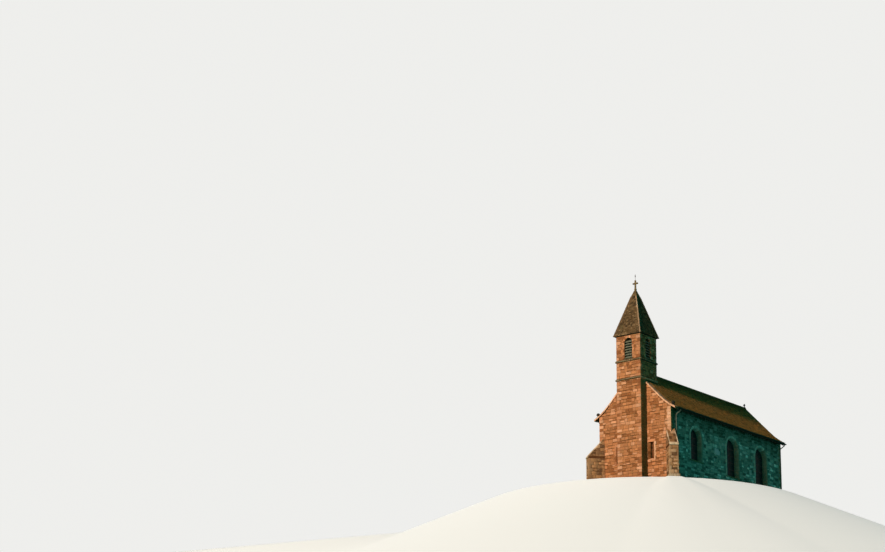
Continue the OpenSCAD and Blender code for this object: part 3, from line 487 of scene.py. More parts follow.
cap_stone = stone_finish(
    "cap_stone", (0.22, 0.130, 0.058), (0.15, 0.088, 0.038), (0.32, 0.205, 0.095), mottle=9.0, rim=(0.32, 0.21, 0.11),
    streaks=(0.4, (0.10, 0.07, 0.04)), lichen=(0.35, (0.26, 0.22, 0.11)))
knob_stone = stone_finish(
    "knob_stone", (0.050, 0.038, 0.027), (0.034, 0.027, 0.020), (0.085, 0.065, 0.045), mottle=14.0,
    streaks=(0.3, (0.04, 0.035, 0.025)), lichen=(0.3, (0.10, 0.085, 0.045)), pieces=False)
patch_render = stone_finish(
    "patch_render", (0.90, 0.60, 0.55), (0.80, 0.52, 0.48), (0.92, 0.66, 0.60), mottle=5.0, rim=(0.60, 0.50, 0.44),
    damp=0.0, streaks=(0.2, (0.5, 0.36, 0.32)))
print("stone finishes", len(bpy.data.materials) - 1)

# %% [markdown]
# The roof has flat clay tiles of a burnt orange, greener towards the eaves, where water runs longest. Near the ridge
# they are painted a near-black green as shade, where the spire's shadow falls. The spire's tiles are smaller and
# much browner, since soot and lichen have sat on them longer, and pale tiles cover the edge between its two visible
# faces. The hip tiles on its other three edges are painted dark as shade.

# %% Tile colours
# Near the ridge the tiles are painted a near-black green: painted shadow of the spire.
roof_clay = stone_finish(
    "roof_clay", (0.60, 0.225, 0.060), (0.36, 0.130, 0.038), (0.72, 0.30, 0.090), dark_share=0.22, pale_share=0.2,
    spread=0.5, mottle=2.2, contrast=0.3, painted_shade_above=9.2, rim=(0.34, 0.13, 0.05), rim_amount=0.35, damp_top=8.2,
    damp=(0.9, (0.22, 0.17, 0.035)), streaks=(0.25, (0.20, 0.10, 0.04)), lichen=(0.3, (0.30, 0.17, 0.06)))
spire_clay = stone_finish(
    "spire_clay", (0.150, 0.082, 0.037), (0.080, 0.047, 0.024), (0.27, 0.155, 0.075), dark_share=0.24,
    pale_share=0.22, spread=0.6, mottle=3.0, contrast=0.3, rim=(0.10, 0.06, 0.03), rim_amount=0.4, damp=0.0,
    streaks=(0.3, (0.07, 0.06, 0.035)), lichen=(0.3, (0.22, 0.17, 0.07)))
ridge_clay = stone_finish(
    "ridge_clay", (0.34, 0.125, 0.050), (0.22, 0.085, 0.035), (0.46, 0.20, 0.09), mottle=6.0, rim=(0.2, 0.1, 0.05),
    damp=0.0, lichen=(0.35, (0.28, 0.2, 0.1)))
hip_clay = stone_finish(
    "hip_clay", (0.40, 0.225, 0.13), (0.18, 0.100, 0.052), (0.52, 0.32, 0.20), mottle=8.0, rim=(0.5, 0.33, 0.21),
    damp=0.0, streaks=0.3, lichen=0.3)
print("tile finishes", len(bpy.data.materials))

# %% [markdown]
# Boards show their grain as long, thin lines along the wood. A noise texture that is stretched in one direction
# draws them, and the same value raises the bump. Zinc and iron are dull metals with a skin of oxide: the colour
# turns patchy and the roughness follows it. Painting them flat would make them look like plastic.

# %% Finishes for wood and metal
def wood_finish(name, main, dark, stretch, rough=0.8):
    finish, shader = new_finish(name, Roughness=rough, Specular_IOR_Level=0.12)
    along = put("Mapping", {"Vector": own_place(), "Scale": stretch}).outputs[0]
    fibres = noise(along, 6.0, 6.0, Roughness=0.6)
    grained = use_group(grain, {"Mottle size": 1.7, "Pore size": 40.0, "Contrast": 0.3})
    colour = blend(1.0, blend(fade(fibres, 0.35, 0.65), dark, main), grained["Factor"], "MULTIPLY")
    fill(shader, {"Base Color": colour, "Normal": raised(0.6, 0.003, fibres)})
    return finish


def metal_finish(name, main, oxide, rough, metal=0.0, shine=0.0):
    finish, shader = new_finish(name, Roughness=rough, Specular_IOR_Level=shine)
    grained = use_group(grain, {"Mottle size": 6.0, "Pore size": 90.0, "Contrast": 0.25})
    skin = fade(grained["Mottle"], 0.42, 0.62)
    fill(shader, {"Base Color": blend(1.0, blend(skin, main, oxide), grained["Factor"], "MULTIPLY"),
                  "Metallic": times(minus(1.0, skin), metal), "Normal": raised(0.25, 0.002, grained["Height"]),
                  "Roughness": fade(grained["Mottle"], 0.35, 0.65, rough, min(1.0, rough + 0.25))})
    return finish


# %% Wood, zinc, iron and lead
louvre_wood = wood_finish("louvre_wood", (0.26, 0.25, 0.17), (0.13, 0.13, 0.09), (1.0, 1.0, 14.0))
rafter_wood = wood_finish("rafter_wood", (0.10, 0.075, 0.05), (0.05, 0.038, 0.026), (1.0, 14.0, 14.0))
eaves_wood = wood_finish("eaves_wood", (0.14, 0.105, 0.07), (0.07, 0.052, 0.035), (10.0, 0.7, 10.0))
door_wood = wood_finish("door_wood", (0.14, 0.075, 0.035), (0.060, 0.032, 0.016), (14.0, 14.0, 0.6), rough=0.65)
dark_zinc = metal_finish("dark_zinc", (0.020, 0.030, 0.020), (0.034, 0.046, 0.030), 0.70)
grey_zinc = metal_finish("grey_zinc", (0.10, 0.115, 0.085), (0.145, 0.160, 0.120), 0.60, metal=0.1, shine=0.05)
iron = metal_finish("old_iron", (0.035, 0.033, 0.032), (0.10, 0.045, 0.022), 0.55, metal=0.5, shine=0.3)
lead = metal_finish("lead", (0.045, 0.053, 0.050), (0.075, 0.082, 0.075), 0.70)
mossy_lead = metal_finish("mossy_lead", (0.060, 0.060, 0.030), (0.085, 0.080, 0.036), 0.80)
print("finishes", len(bpy.data.materials))

# %% [markdown]
# Old church glass is set in small panes. Seen from outside by day it looks almost black, because the room behind is
# dark, and each pane hangs at its own slight angle and has its own tint. The glass here is a dark, smooth surface
# with a little tint by pane, and the panes' real tilt does the rest. The two slits of the front are brown with dust.

# %% Glass
def glass_finish(name, main, dark, pale, rough):
    finish, shader = new_finish(name, Roughness=rough, Specular_IOR_Level=0.03, Metallic=0.0)
    toned = use_group(piece_tones, {"Tone": number_of("tone"), "Main": main, "Dark": dark, "Pale": pale,
                                    "Dark share": 0.25, "Pale share": 0.15, "Spread": 0.6})
    fill(shader, {"Base Color": toned["Colour"], "Normal": raised(0.12, 0.01, noise(own_place(), 9.0, 2.0))})
    return finish


glass = glass_finish("old_glass", (0.006, 0.022, 0.017), (0.004, 0.012, 0.012), (0.012, 0.036, 0.026), 0.14)
dusty_glass = glass_finish("dusty_glass", (0.15, 0.048, 0.014), (0.085, 0.028, 0.009), (0.20, 0.070, 0.022), 0.55)
print("glass", glass.name, dusty_glass.name)

# %% [markdown]
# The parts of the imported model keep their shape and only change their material. Walls take the colour of mortar,
# because single stones are laid on them later and leave just the joints to be seen.

# %% Finishes on the model's own parts
own_finish = {
    warm_mortar: "front_wall_left front_wall_right tower_front_wall tower_left_wall tower_right_wall tower_rear_wall "
                 "belfry_front_wall belfry_rear_wall belfry_left_wall belfry_right_wall lower_string upper_string "
                 "front_copings buttress_left buttress_right",
    cool_mortar: "side_wall_left side_wall_right rear_wall surrounds_left surrounds_right window_sills belfry_sills "
                 "door_surround",
    floor_stone: "floor door_sill", eaves_wood: "roof_left roof_right",
    rafter_wood: "rafter_feet_left rafter_feet_right", spire_clay: "spire", hip_clay: "spire_hips",
    ridge_clay: "ridge_tiles", cap_stone: "spire_cap cross", knob_stone: "coping_knobs",
    iron: "spire_rod ridge_finial door_iron", louvre_wood: "louvres", door_wood: "door",
    dark_zinc: "gutter_left gutter_right", grey_zinc: "downpipes", lead: "glazing_left glazing_right front_glazing",
}
dressed_parts = [(name, finish) for finish, names in own_finish.items() for name in names.split()]
for name, finish in dressed_parts:
    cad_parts[name].material_slots[0].material = finish
print("dressed", len(dressed_parts), "of", len(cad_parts), "parts")

# %% [markdown]
# The walls need some thousands of stones. Placing objects one by one would be slow, so all stones of a wall are
# worked out together as arrays of numbers and joined into one mesh. Every face keeps the tone of its stone, and
# every corner point keeps the rim value, so one material can still tell the stones apart.

# %% Helpers for joined meshes
rng = np.random.default_rng(1887)
made, hair = {}, 0.0005                                  # pieces stay this far inside the model's own box


def make_piece(name, points, faces, tone, rim, finish, slot, stands_for=(), sharp=40):
    """One mesh from points, four-cornered faces, a tone per face and a rim value per point."""
    points = np.clip(points, box_low + hair, box_high - hair).astype(np.float32)
    mesh = bpy.data.meshes.new(name)
    mesh.vertices.add(len(points))
    mesh.vertices.foreach_set("co", points.ravel())
    mesh.loops.add(faces.size)
    mesh.loops.foreach_set("vertex_index", faces.astype(np.int32).ravel())
    mesh.polygons.add(len(faces))
    mesh.polygons.foreach_set("loop_start", np.arange(0, faces.size, 4, dtype=np.int32))
    mesh.update(calc_edges=True)
    for label, kind, values in (("tone", "FACE", tone), ("rim", "POINT", rim)):
        mesh.attributes.new(label, "FLOAT", kind).data.foreach_set("value", values.astype(np.float32))
    mesh.validate()
    mesh.shade_smooth()
    mesh.set_sharp_from_angle(angle=math.radians(sharp))
    mesh.materials.append(finish)
    piece = bpy.data.objects.new(name, mesh)
    bpy.context.scene.collection.objects.link(piece)
    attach(piece, "root")
    for node in stands_for:
        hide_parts(node)
    made[name] = 2 * len(mesh.polygons)


def joined(parts):
    """Several (points, faces, tone, rim) sets as one."""
    points, faces, tones, rims = zip(*parts)
    starts = np.cumsum([0] + [len(p) for p in points])
    return (np.concatenate(points), np.concatenate([f + start for f, start in zip(faces, starts)]),
            np.concatenate(tones), np.concatenate(rims))


def mirror_image(points, faces, tone, rim):
    """The same set on the chapel's other side, with its faces turned so that they still look outwards."""
    return points * (-1, 1, 1), faces[:, ::-1], tone, rim


def pairs(values):
    """Each value with the one after it."""
    return list(zip(values, values[1:]))


def tell(step, count=1):
    print(step, {name: made[name] for name in list(made)[-count:]}, "triangles")


# %% [markdown]
# A face stone is a shallow cushion: its edges lie a little behind the wall's face, where the mortar is, and its
# middle stands a finger's width in front of it. A grid of five by five points is enough for rounded corners, a soft
# edge and a slightly bulging middle. Stones that meet a window or the roof have their points pushed back to that
# outline, as a mason cuts a stone to fit. Mere slivers, and stones wholly inside an opening, are left out.

# %% Helpers: a wall's plane, and stones parted at an opening
ring_order = [(0, j) for j in range(5)] + [(i, 4) for i in range(1, 5)] + \
             [(4, j) for j in (3, 2, 1, 0)] + [(i, 0) for i in (3, 2, 1)]
depth_in = np.array([[min(i, j, 4 - i, 4 - j) for j in range(5)] for i in range(5)])
stone_points, stone_faces = depth_in.size, 4 * 4
least_area, least_share = 0.004, 0.25                    # of a stone that was cut to fit


def wall_plane(origin, facing):
    """Origin, level axis, upright axis and outward axis of a wall's face."""
    outward = np.array(facing, float)
    outward /= np.linalg.norm(outward)
    upright = np.array((0.0, 0.0, 1.0))
    return np.array(origin, float), np.cross(upright, outward), upright, outward


def parted(quads, hole, levels):
    """Stones that cross the middle line or the foot of an opening become two stones."""
    left, right, foot, head = hole
    for axis, at in levels:
        result = []
        for quad in quads:
            a, b, c, d = corners = np.array(quad)
            low, high = corners.min(0), corners.max(0)
            meets = low[0] < right and high[0] > left and low[1] < head and high[1] > foot
            if not meets or not low[axis] + 0.02 < at < high[axis] - 0.02:
                result.append(corners)
                continue
            starts, stops = (corners[[0, 3]], corners[[1, 2]]) if axis == 0 else (corners[[0, 1]], corners[[3, 2]])
            part = np.clip((at - starts[:, axis]) / (stops[:, axis] - starts[:, axis]), 0, 1)[:, None]
            first, second = starts + (stops - starts) * part
            result += [(a, first, second, d), (first, b, c, second)] if axis == 0 else \
                      [(a, b, second, first), (first, second, c, d)]
        quads = result
    return quads


# %% Helpers: the grid of points on a face stone
def point_grid(quads, edge):
    """Each stone's points across and up the wall, rounded at its corners, and its width times its height."""
    wide = np.linalg.norm(quads[:, 1] - quads[:, 0], axis=1)
    tall = np.linalg.norm(quads[:, 3] - quads[:, 0], axis=1)
    soft_u, soft_v = np.minimum(edge / wide, 0.3), np.minimum(edge / tall, 0.3)
    s, t = (np.stack((0 * soft, soft, 0 * soft + 0.5, 1 - soft, 0 * soft + 1), 1) for soft in (soft_u, soft_v))
    s, t = s[:, None, :].repeat(5, 1), t[:, :, None].repeat(5, 2)
    for i, j in ((0, 0), (0, 4), (4, 0), (4, 4)):
        s[:, i, j] += (0.5 - j / 4) * soft_u
        t[:, i, j] += (0.5 - i / 4) * soft_v
    a, b, c, d = (quads[:, k][:, None, None] for k in range(4))
    s, t = s[..., None], t[..., None]
    return (a * (1 - s) + b * s) * (1 - t) + (d * (1 - s) + c * s) * t, wide * tall


def outlined_area(flat):
    loop = np.stack([flat[:, i, j] for i, j in ring_order], 1)
    turn = np.roll(loop, -1, 1)
    return 0.5 * np.abs((loop[..., 0] * turn[..., 1] - turn[..., 0] * loop[..., 1]).sum(1))


print("a face stone has", stone_points, "points, and", len(ring_order), "of them lie round its outline")

# %% Helper: face stones on a wall
edge_height = -0.003                                     # the stones' edges lie behind the wall's face
lift_varies, belly_varies = (0.65, 1.25), (1.0, 1.3)     # by stone, and how far its middle stands out beyond that


def face_stones(plane, quads, joint=0.012, lift=0.010, edge=0.020, rough=0.002, cuts=()):
    for cut in cuts:
        quads = parted(quads, cut.hole, cut.levels) if hasattr(cut, "hole") else quads
    quads = np.array(quads, float)
    quads += np.sign(quads.mean(1, keepdims=True) - quads) * joint / 2
    flat, full_area = point_grid(quads, edge)
    flat += rng.normal(0, rough, flat.shape)
    stone_lift = lift * rng.uniform(*lift_varies, (len(quads), 1, 1))
    high = np.where(depth_in == 0, edge_height, stone_lift * rng.uniform(0.85, 1.0, flat.shape[:3]))
    high = np.where(depth_in == 2, stone_lift * rng.uniform(*belly_varies, flat.shape[:3]), high)
    in_hole = np.zeros(len(quads))
    for cut in cuts:
        fitted = cut(flat, np.broadcast_to(depth_in * edge, flat.shape[:3]))
        if hasattr(cut, "hole"):
            in_hole = np.maximum(in_hole, (np.abs(fitted - flat).max(-1) > 0.001).mean((1, 2)))
        flat = fitted
    area = outlined_area(flat)
    keep = (area > least_share * full_area) & (area > least_area)
    tone = np.zeros(len(quads))
    tone[keep] = rng.random(keep.sum())
    keep &= in_hole < 0.9
    flat, high, tone = flat[keep], high[keep], tone[keep]
    origin, level_axis, upright, outward = plane
    points = origin + flat[..., :1] * level_axis + flat[..., 1:] * upright + high[..., None] * outward
    grid = np.arange(flat[..., 0].size).reshape(-1, 5, 5)
    faces = np.stack((grid[:, :-1, :-1], grid[:, :-1, 1:], grid[:, 1:, 1:], grid[:, 1:, :-1]), -1).reshape(-1, 4)
    rim = np.broadcast_to(np.array((1.0, 0.7, 0.0))[depth_in], grid.shape).reshape(-1)
    return points.reshape(-1, 3), faces, tone.repeat(stone_faces), rim


# %% [markdown]
# Two ways of walling are seen here. The front has squared stones in level courses. The sides have rubble: rough
# stones in wavy courses with slanting joints, some of them two small stones high. Both are drawn as four-cornered
# outlines on the wall, and the cuts below fit them to windows, slopes and holes.

# %% Helpers: squared courses
def course_heights(top, low=0.22, high=0.32):
    steps = rng.uniform(low, high, int(top / low) + 2)
    heights = np.concatenate(([0.0], np.cumsum(steps)))
    return heights[:np.searchsorted(heights, top) + 1]


def squared_courses(left, right, heights, foot, top):
    """Level courses. Some joints are washed out wide, and some stones are two thin ones."""
    quads, narrow, wide, thin = [], 0.26, 0.58, 0.06
    for low, high in pairs(np.clip(heights, foot, top)):
        if high - low < thin:
            continue
        edges = [left]
        while right - edges[-1] > wide:
            edges.append(edges[-1] + rng.uniform(narrow * (0.6 if len(edges) == 1 else 1), wide))
        for a, b in pairs(edges + [right]):
            bed = low + (rng.uniform(0.020, 0.055) if rng.random() < 0.42 else 0.0)
            levels = [bed, high]
            if high - low > 0.2 and rng.random() < 0.32:
                levels.insert(1, bed + (high - bed) * rng.uniform(0.35, 0.65))
            quads += [[(a, v0), (b, v0), (b, v1), (a, v1)] for v0, v1 in pairs(levels)]
    return quads


# %% Helper: rubble courses
def rubble_courses(left, right, top):
    heights, quads = course_heights(top + 0.3, 0.17, 0.30), []
    phases = np.cumsum(rng.uniform(-0.5, 0.5, (len(heights), 2)), axis=0)

    def on_bed(row, u):
        wave = 0.032 * math.sin(1.1 * u + phases[row, 0]), 0.018 * math.sin(2.9 * u + phases[row, 1])
        return u, heights[row] + wave[0] + wave[1] if row else 0.0

    for row, tall in enumerate(np.diff(heights)):
        lower = upper = left
        while lower < right - 0.1:
            wide = rng.uniform(0.20, 0.62)
            lower_next = min(lower + wide, right)
            upper_next = min(lower_next + rng.uniform(-0.05, 0.05), right)
            if right - lower_next < 0.12:
                lower_next = upper_next = right
            a, b, c, d = corners = np.array((on_bed(row, lower), on_bed(row, lower_next),
                                             on_bed(row + 1, upper_next), on_bed(row + 1, upper)))
            if rng.random() < 0.3 and wide < 0.45 and tall > 0.2:
                part = rng.uniform(0.38, 0.62, 2)[:, None]
                left_mid, right_mid = corners[:2] * (1 - part) + corners[:1:-1] * part
                quads += [[a, b, right_mid, left_mid], [left_mid, right_mid, c, d]]
            else:
                quads.append(corners)
            lower, upper = lower_next, upper_next
    return quads


# %% Helpers: cuts for openings and slopes
def round_headed(middle, half, foot, spring):
    """Pushes a stone's points out of a round-headed opening, to the side on which the stone's middle lies."""
    def cut(flat, margin):
        centre = flat.mean((1, 2), keepdims=True)
        side = np.where(centre[..., 0] < middle, -1, 1)
        u, v = flat[..., 0] - middle, flat[..., 1]
        reach = half + margin
        away = np.maximum(np.hypot(u, v - spring), 1e-6)
        in_arch = (v > spring) & (away < reach)
        in_shaft = (v <= spring) & (np.abs(u) < reach) & (v > foot - margin)
        down = in_shaft & (centre[..., 1] < foot)
        new_u = np.where(in_arch, side * np.abs(u) * reach / away, np.where(in_shaft & ~down, side * reach, u))
        new_v = np.where(in_arch, spring + (v - spring) * reach / away, np.where(down, foot - margin, v))
        return np.stack((new_u + middle, new_v), -1)
    cut.hole, cut.levels = (middle - half, middle + half, foot, spring + half), ((0, middle), (1, foot))
    return cut


def squared_hole(left, right, foot, head):
    def cut(flat, margin):
        centre = flat.mean((1, 2), keepdims=True)
        u, v = flat[..., 0], flat[..., 1]
        inside = (u > left - margin) & (u < right + margin) & (v > foot - margin) & (v < head + margin)
        up, down = inside & (centre[..., 1] > head), inside & (centre[..., 1] < foot)
        beside = np.where(centre[..., 0] < (left + right) / 2, left - margin, right + margin)
        return np.stack((np.where(inside & ~up & ~down, beside, u),
                         np.where(up, head + margin, np.where(down, foot - margin, v))), -1)
    cut.hole, cut.levels = (left, right, foot, head), ((0, (left + right) / 2), (1, foot), (1, head))
    return cut


def below(line):
    return lambda flat, margin: np.stack((flat[..., 0], np.minimum(flat[..., 1], line(flat[..., 0]) - margin)), -1)


def above(line):
    return lambda flat, margin: np.stack((flat[..., 0], np.maximum(flat[..., 1], line(flat[..., 0]) + margin)), -1)


# %% The roof's own line
roof_points = np.array([v.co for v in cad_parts["roof_right"].data.vertices])
roof_end = roof_points[roof_points[:, 1] > roof_points[:, 1].max() - 0.001]
slope_x = np.unique(roof_end[:, 0].round(4))
slope_z = np.array([roof_end[np.abs(roof_end[:, 0] - x) < 0.001, 2].max() for x in slope_x])
roof_thick = float(slope_z[0] - roof_end[roof_end[:, 0] < 0.001, 2].min())


def roof_line(x):
    return np.interp(np.abs(x), slope_x, slope_z)


under_roof = below(lambda u: roof_line(u) - roof_thick - 0.005)
print("roof line", list(zip(slope_x, slope_z.round(3))), "thick", round(roof_thick, 3))

# %% [markdown]
# Corner stones, arch stones, sills and copings are dressed blocks with straight, slightly worn edges. Each is given
# by its eight corners, so that one helper makes cubes, wedges and arch stones alike. A small lattice of points on
# its surface leaves room for a bevel, whose points are drawn in as on a rounded edge. A Bevel modifier would do the
# same, but not in every size of block at once.

# %% Helper: dressed blocks
lattice = [(i, j, k) for i, j, k in np.ndindex(4, 4, 4) if {i, j, k} & {0, 3}]
number = {key: n for n, key in enumerate(lattice)}


def lattice_face(axis, at_stop, p, q):
    """One of the small squares on a block's surface, turned outwards."""
    square = [number[tuple(np.roll((3 * at_stop, p + dp, q + dq), axis))]
              for dp, dq in ((0, 0), (1, 0), (1, 1), (0, 1))]
    return square if at_stop else square[::-1]


block_faces, lattice = np.array([lattice_face(*key) for key in np.ndindex(3, 2, 3, 3)]), np.array(lattice)
at_end = (lattice == 0) | (lattice == 3)
sides_met = at_end.sum(1)
drawn_in = np.choose(sides_met, (0.0, 0.0, 0.29, 0.42))[:, None] * at_end      # at an edge, and at a corner


def dressed_blocks(corners, edge=0.014, wear=0.0015, tone=None):
    """Blocks from an array of their corners: blocks x 2 x 2 x 2 x 3."""
    corners = np.array(corners, float)
    base = corners[:, 0, 0, 0]
    sides = [corners[:, 1, 0, 0] - base, corners[:, 0, 1, 0] - base, corners[:, 0, 0, 1] - base]
    flipped = np.einsum("ij,ij->i", np.cross(sides[0], sides[1]), sides[2]) < 0
    corners[flipped] = corners[flipped][:, :, :, ::-1]
    spans = [np.linalg.norm((corners.take(1, axis + 1) - corners.take(0, axis + 1)).mean((1, 2)), axis=1)
             for axis in range(3)]
    part = np.minimum(edge / np.stack(spans, 1), 0.3)[:, None, :]
    steps = np.choose(lattice, (drawn_in * part, part, 1 - part, 1 - drawn_in * part))
    points = np.zeros((len(corners), len(lattice), 3))
    for corner in np.ndindex(2, 2, 2):
        weight = np.prod([steps[..., n] if bit else 1 - steps[..., n] for n, bit in enumerate(corner)], axis=0)
        points += weight[..., None] * corners[:, *corner][:, None]
    points += rng.normal(0, wear, points.shape)
    count = len(corners)
    faces = (block_faces[None] + (np.arange(count) * len(lattice))[:, None, None]).reshape(-1, 4)
    tone = rng.random(count) if tone is None else np.full(count, tone)
    rim = np.tile(np.where(sides_met > 1, 1.0, 0.0), count)
    return points.reshape(-1, 3), faces, tone.repeat(len(block_faces)), rim


def make_blocks(name, blocks, finish, slot, stands_for=(), **looks):
    """One piece of dressed blocks. Their edge, wear and tone can be given."""
    make_piece(name, *dressed_blocks(blocks, **looks), finish, slot, stands_for)


print("a dressed block has", len(lattice), "points and", len(block_faces), "faces")

# %% Helpers: shapes of blocks
def cuboid(low, high):
    ends = np.minimum(low, high), np.maximum(low, high)
    return [[[[ends[i][0], ends[j][1], ends[k][2]] for k in (0, 1)] for j in (0, 1)] for i in (0, 1)]


def rectangle(a0, b0, a1, b1):
    return [(a0, b0), (a1, b0), (a1, b1), (a0, b1)]


def beam(section_start, section_end):
    """A block between two four-cornered sections, each given round its outline."""
    return [[[s[0], s[3]], [s[1], s[2]]] for s in (section_start, section_end)]


def drawn_out(outline, place, start, stop):
    """A block from one outline: place(a, b, at) puts each corner in space, once at the start and once at the stop."""
    return beam(*([place(a, b, at) for a, b in outline] for at in (start, stop)))


def mirrored(corners):
    return np.array(corners) * (-1, 1, 1)


def with_mirrored(blocks):
    return np.concatenate((blocks, mirrored(blocks)))


# %% Where the tower and the nave stand
def turned(corners, quarter):
    """The same corners on another face of the tower, after quarter turns."""
    angle = quarter * math.pi / 2
    spin = np.array(((math.cos(angle), -math.sin(angle)), (math.sin(angle), math.cos(angle))))
    corners = np.array(corners, float)
    corners[..., :2] = (corners[..., :2] - tower_middle) @ spin.T + tower_middle
    return corners


def all_round(blocks):
    return np.concatenate([turned(blocks, quarter) for quarter in range(4)])


def corner_rows(courses, foot, top, joint=0.005):
    """The courses between two heights that are tall enough for a corner stone, with their numbers."""
    for row, (low, high) in enumerate(pairs(courses)):
        low, high = max(low, foot) + joint, min(high, top) - joint
        if high - low >= 0.08:
            yield row, low, high


tower_front, tower_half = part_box("belfry_front_wall")[0][1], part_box("belfry_rear_wall")[1][0]
tower_middle = np.array((0.0, (tower_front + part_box("belfry_rear_wall")[1][1]) / 2))
nave_front, nave_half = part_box("front_wall_right")[0][1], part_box("front_wall_right")[1][0]
nave_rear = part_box("rear_wall")[1][1]
print("tower", 2 * tower_half, "nave", 2 * nave_half, "x", round(nave_rear - nave_front, 2))

# %% [markdown]
# The tower comes first. Its courses run round all four faces at the same heights, and the corner stones take turns:
# one reaches far along the front and a little way along the side, the next one the other way round. That bond is
# what holds a real corner together.

# %% Stages of the tower
lower_band, upper_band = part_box("lower_string"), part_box("upper_string")
belfry_foot, tower_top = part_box("belfry_front_wall")[0][2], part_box("belfry_front_wall")[1][2]
stages = [(0.0, lower_band[0][2]), (lower_band[1][2], upper_band[0][2]), (belfry_foot, tower_top)]
tower_courses = course_heights(tower_top + 0.3)
belfry_half, belfry_spring = 0.395, 12.4787 - 0.395
print("tower stages", [(round(foot, 2), round(top, 2)) for foot, top in stages], len(tower_courses), "courses")

# %% Tower stones
stones = []
for facing in ((0, -1, 0), (1, 0, 0), (0, 1, 0), (-1, 0, 0)):
    plane = wall_plane(np.append(tower_middle, 0.0) + tower_half * np.array(facing, float), facing)
    for foot, top in stages:
        if facing == (0, 1, 0) and foot == 0.0:
            continue
        cuts = [above(roof_line)] if facing == (0, 1, 0) else []
        if foot == belfry_foot:
            cuts.insert(0, round_headed(0.0, belfry_half + 0.13, belfry_foot, belfry_spring))
        left, right = -tower_half, tower_half
        if facing[0] and foot == 0.0:                    # behind this the nave hides the tower's side
            free = nave_front - tower_front
            left, right = (left, left + free + 0.03) if facing[0] > 0 else (right - free - 0.03, right)
        stones.append(face_stones(plane, squared_courses(left, right, tower_courses, foot, top), cuts=cuts))
# Below 8.8 m the tower's right face is painted a dark olive by its finish: painted shade.
make_piece("tower_stones", *joined(stones), ashlar, "sandstone")
tell("tower")

# %% Corner stones of the tower
proud = 0.020                                            # they stand this far out from the wall
corners = []
for foot, top in stages:
    for row, low, high in corner_rows(tower_courses, foot, top, 0.010):
        for side in (-1, 1):
            for end in (-1, 1) if low >= roof_line(tower_half) else (-1,):
                along, back = (0.44, 0.24) if (row + (side > 0)) % 2 else (0.25, 0.42)
                along, back = along * rng.uniform(0.9, 1.15), back * rng.uniform(0.9, 1.15)
                x, y = side * (tower_half + proud), tower_middle[1] + end * (tower_half + proud)
                corners.append(cuboid((x, y, low), (x - side * along, y - end * back, high)))
make_blocks("tower_quoins", corners, quoin_stone, "sandstone")
tell("tower corners")

# %% [markdown]
# The front gable walls stand left and right of the tower and end under the raking copings. Each has one narrow
# window whose jambs splay inwards, with a long lintel and a sloping sill stone.

# %% Front stones
slit_half, slit_foot, slit_head = 0.13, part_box("front_glazing")[0][2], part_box("front_glazing")[1][2]
slit_x, slit_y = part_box("front_glazing")[1][0] - slit_half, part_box("front_glazing")[0][1]
front_courses, front_plane = course_heights(9.2), wall_plane((0, nave_front, 0), (0, -1, 0))
stones = []
for side in (-1, 1):
    wall_ends = sorted((side * tower_half, side * nave_half))
    hole = sorted((side * (slit_x - 0.40), side * (slit_x + 0.44)))
    cuts = [squared_hole(*hole, slit_foot - 0.20, slit_head + 0.20), under_roof]
    stones.append(face_stones(front_plane, squared_courses(*wall_ends, front_courses, 0.0, 9.0), cuts=cuts))
make_piece("front_stones", *joined(stones), ashlar, "sandstone")
tell("front")

# %% Jambs, lintels and sills of the narrow windows
ends = slit_x - 0.37, slit_x + 0.46                      # of the lintel and the sill
y0, y1, joint = nave_front - proud, nave_front + 0.15, 0.003
blocks, pale, splays = [], [], []
for side in (-1, 1):
    other_side = (side, 1, 1)                            # drawn for the right side, and mirrored for the left
    for row, (low, high) in enumerate(pairs(np.linspace(slit_foot - 0.14, slit_head, 7))):
        for edge, reach in ((-1, 0.06), (1, 0.20 if row % 2 else 0.14)):
            face_in, face_out, deep_in = (slit_x + edge * out for out in (0.318, 0.32 + reach, 0.128))
            outline = rectangle(face_in, y0, face_out, y1)
            jamb = drawn_out(outline, lambda x, y, z: (x, y, z), low + joint, high - joint)
            (pale if edge * side > 0 else blocks).append(np.array(jamb) * other_side)
            outline = [(face_in, y0 + 0.003), (face_in + edge * 0.02, y1), (deep_in, y1), (deep_in, y1 - 0.004)]
            foot = [(x, y, (low if y < y1 - 0.1 else max(low, slit_foot)) + joint) for x, y in outline]
            splays.append(np.array(beam(foot, [(x, y, high - joint) for x, y in outline])) * other_side)
    lintel = cuboid((ends[0], y0, slit_head + 0.001), (ends[1], y1, slit_head + 0.24))
    outline = [(nave_front - 0.024, slit_foot - 0.21), (y1, slit_foot - 0.21), (y1, slit_foot + 0.004),
               (nave_front - 0.024, slit_foot - 0.137)]
    sill = drawn_out(outline, lambda y, z, x: (x, y, z), *ends)
    blocks += [np.array(block) * other_side for block in (lintel, sill)]
make_blocks("slit_jambs", blocks, quoin_stone, "sandstone")
make_blocks("slit_right_jambs", pale, pale_quoins, "sandstone")
make_blocks("slit_splays", splays, painted_shade_splay, "sandstone", edge=0.004)
tell("narrow windows", 3)

# %% Corner stones of the front
eaves_z, buttress_z = 6.2, 3.7                           # they are seen between these heights
corners = {-1: [], 1: []}
for side in (-1, 1):
    for row, low, high in corner_rows(front_courses, 0.0, eaves_z):
        if low >= buttress_z:
            along, back = (0.40, 0.26) if row % 2 else (0.33, 0.34)
            corners[side].append(cuboid((side * (nave_half + proud), y0, low),
                                        (side * (nave_half - along), nave_front + back, high)))
make_blocks("front_right_quoins", corners[1], pale_quoins, "sandstone")
make_blocks("front_left_quoins", corners[-1], quoin_stone, "sandstone")
tell("front corners", 2)

# %% [markdown]
# The side and rear walls are rubble. Round each window the rubble stops under a ring of dressed stones: arch stones
# that fan out from the arch's centre, and jamb stones below them. Their inner faces follow the reveal, which narrows
# on its way to the glass, so each stone is a wedge in two directions.

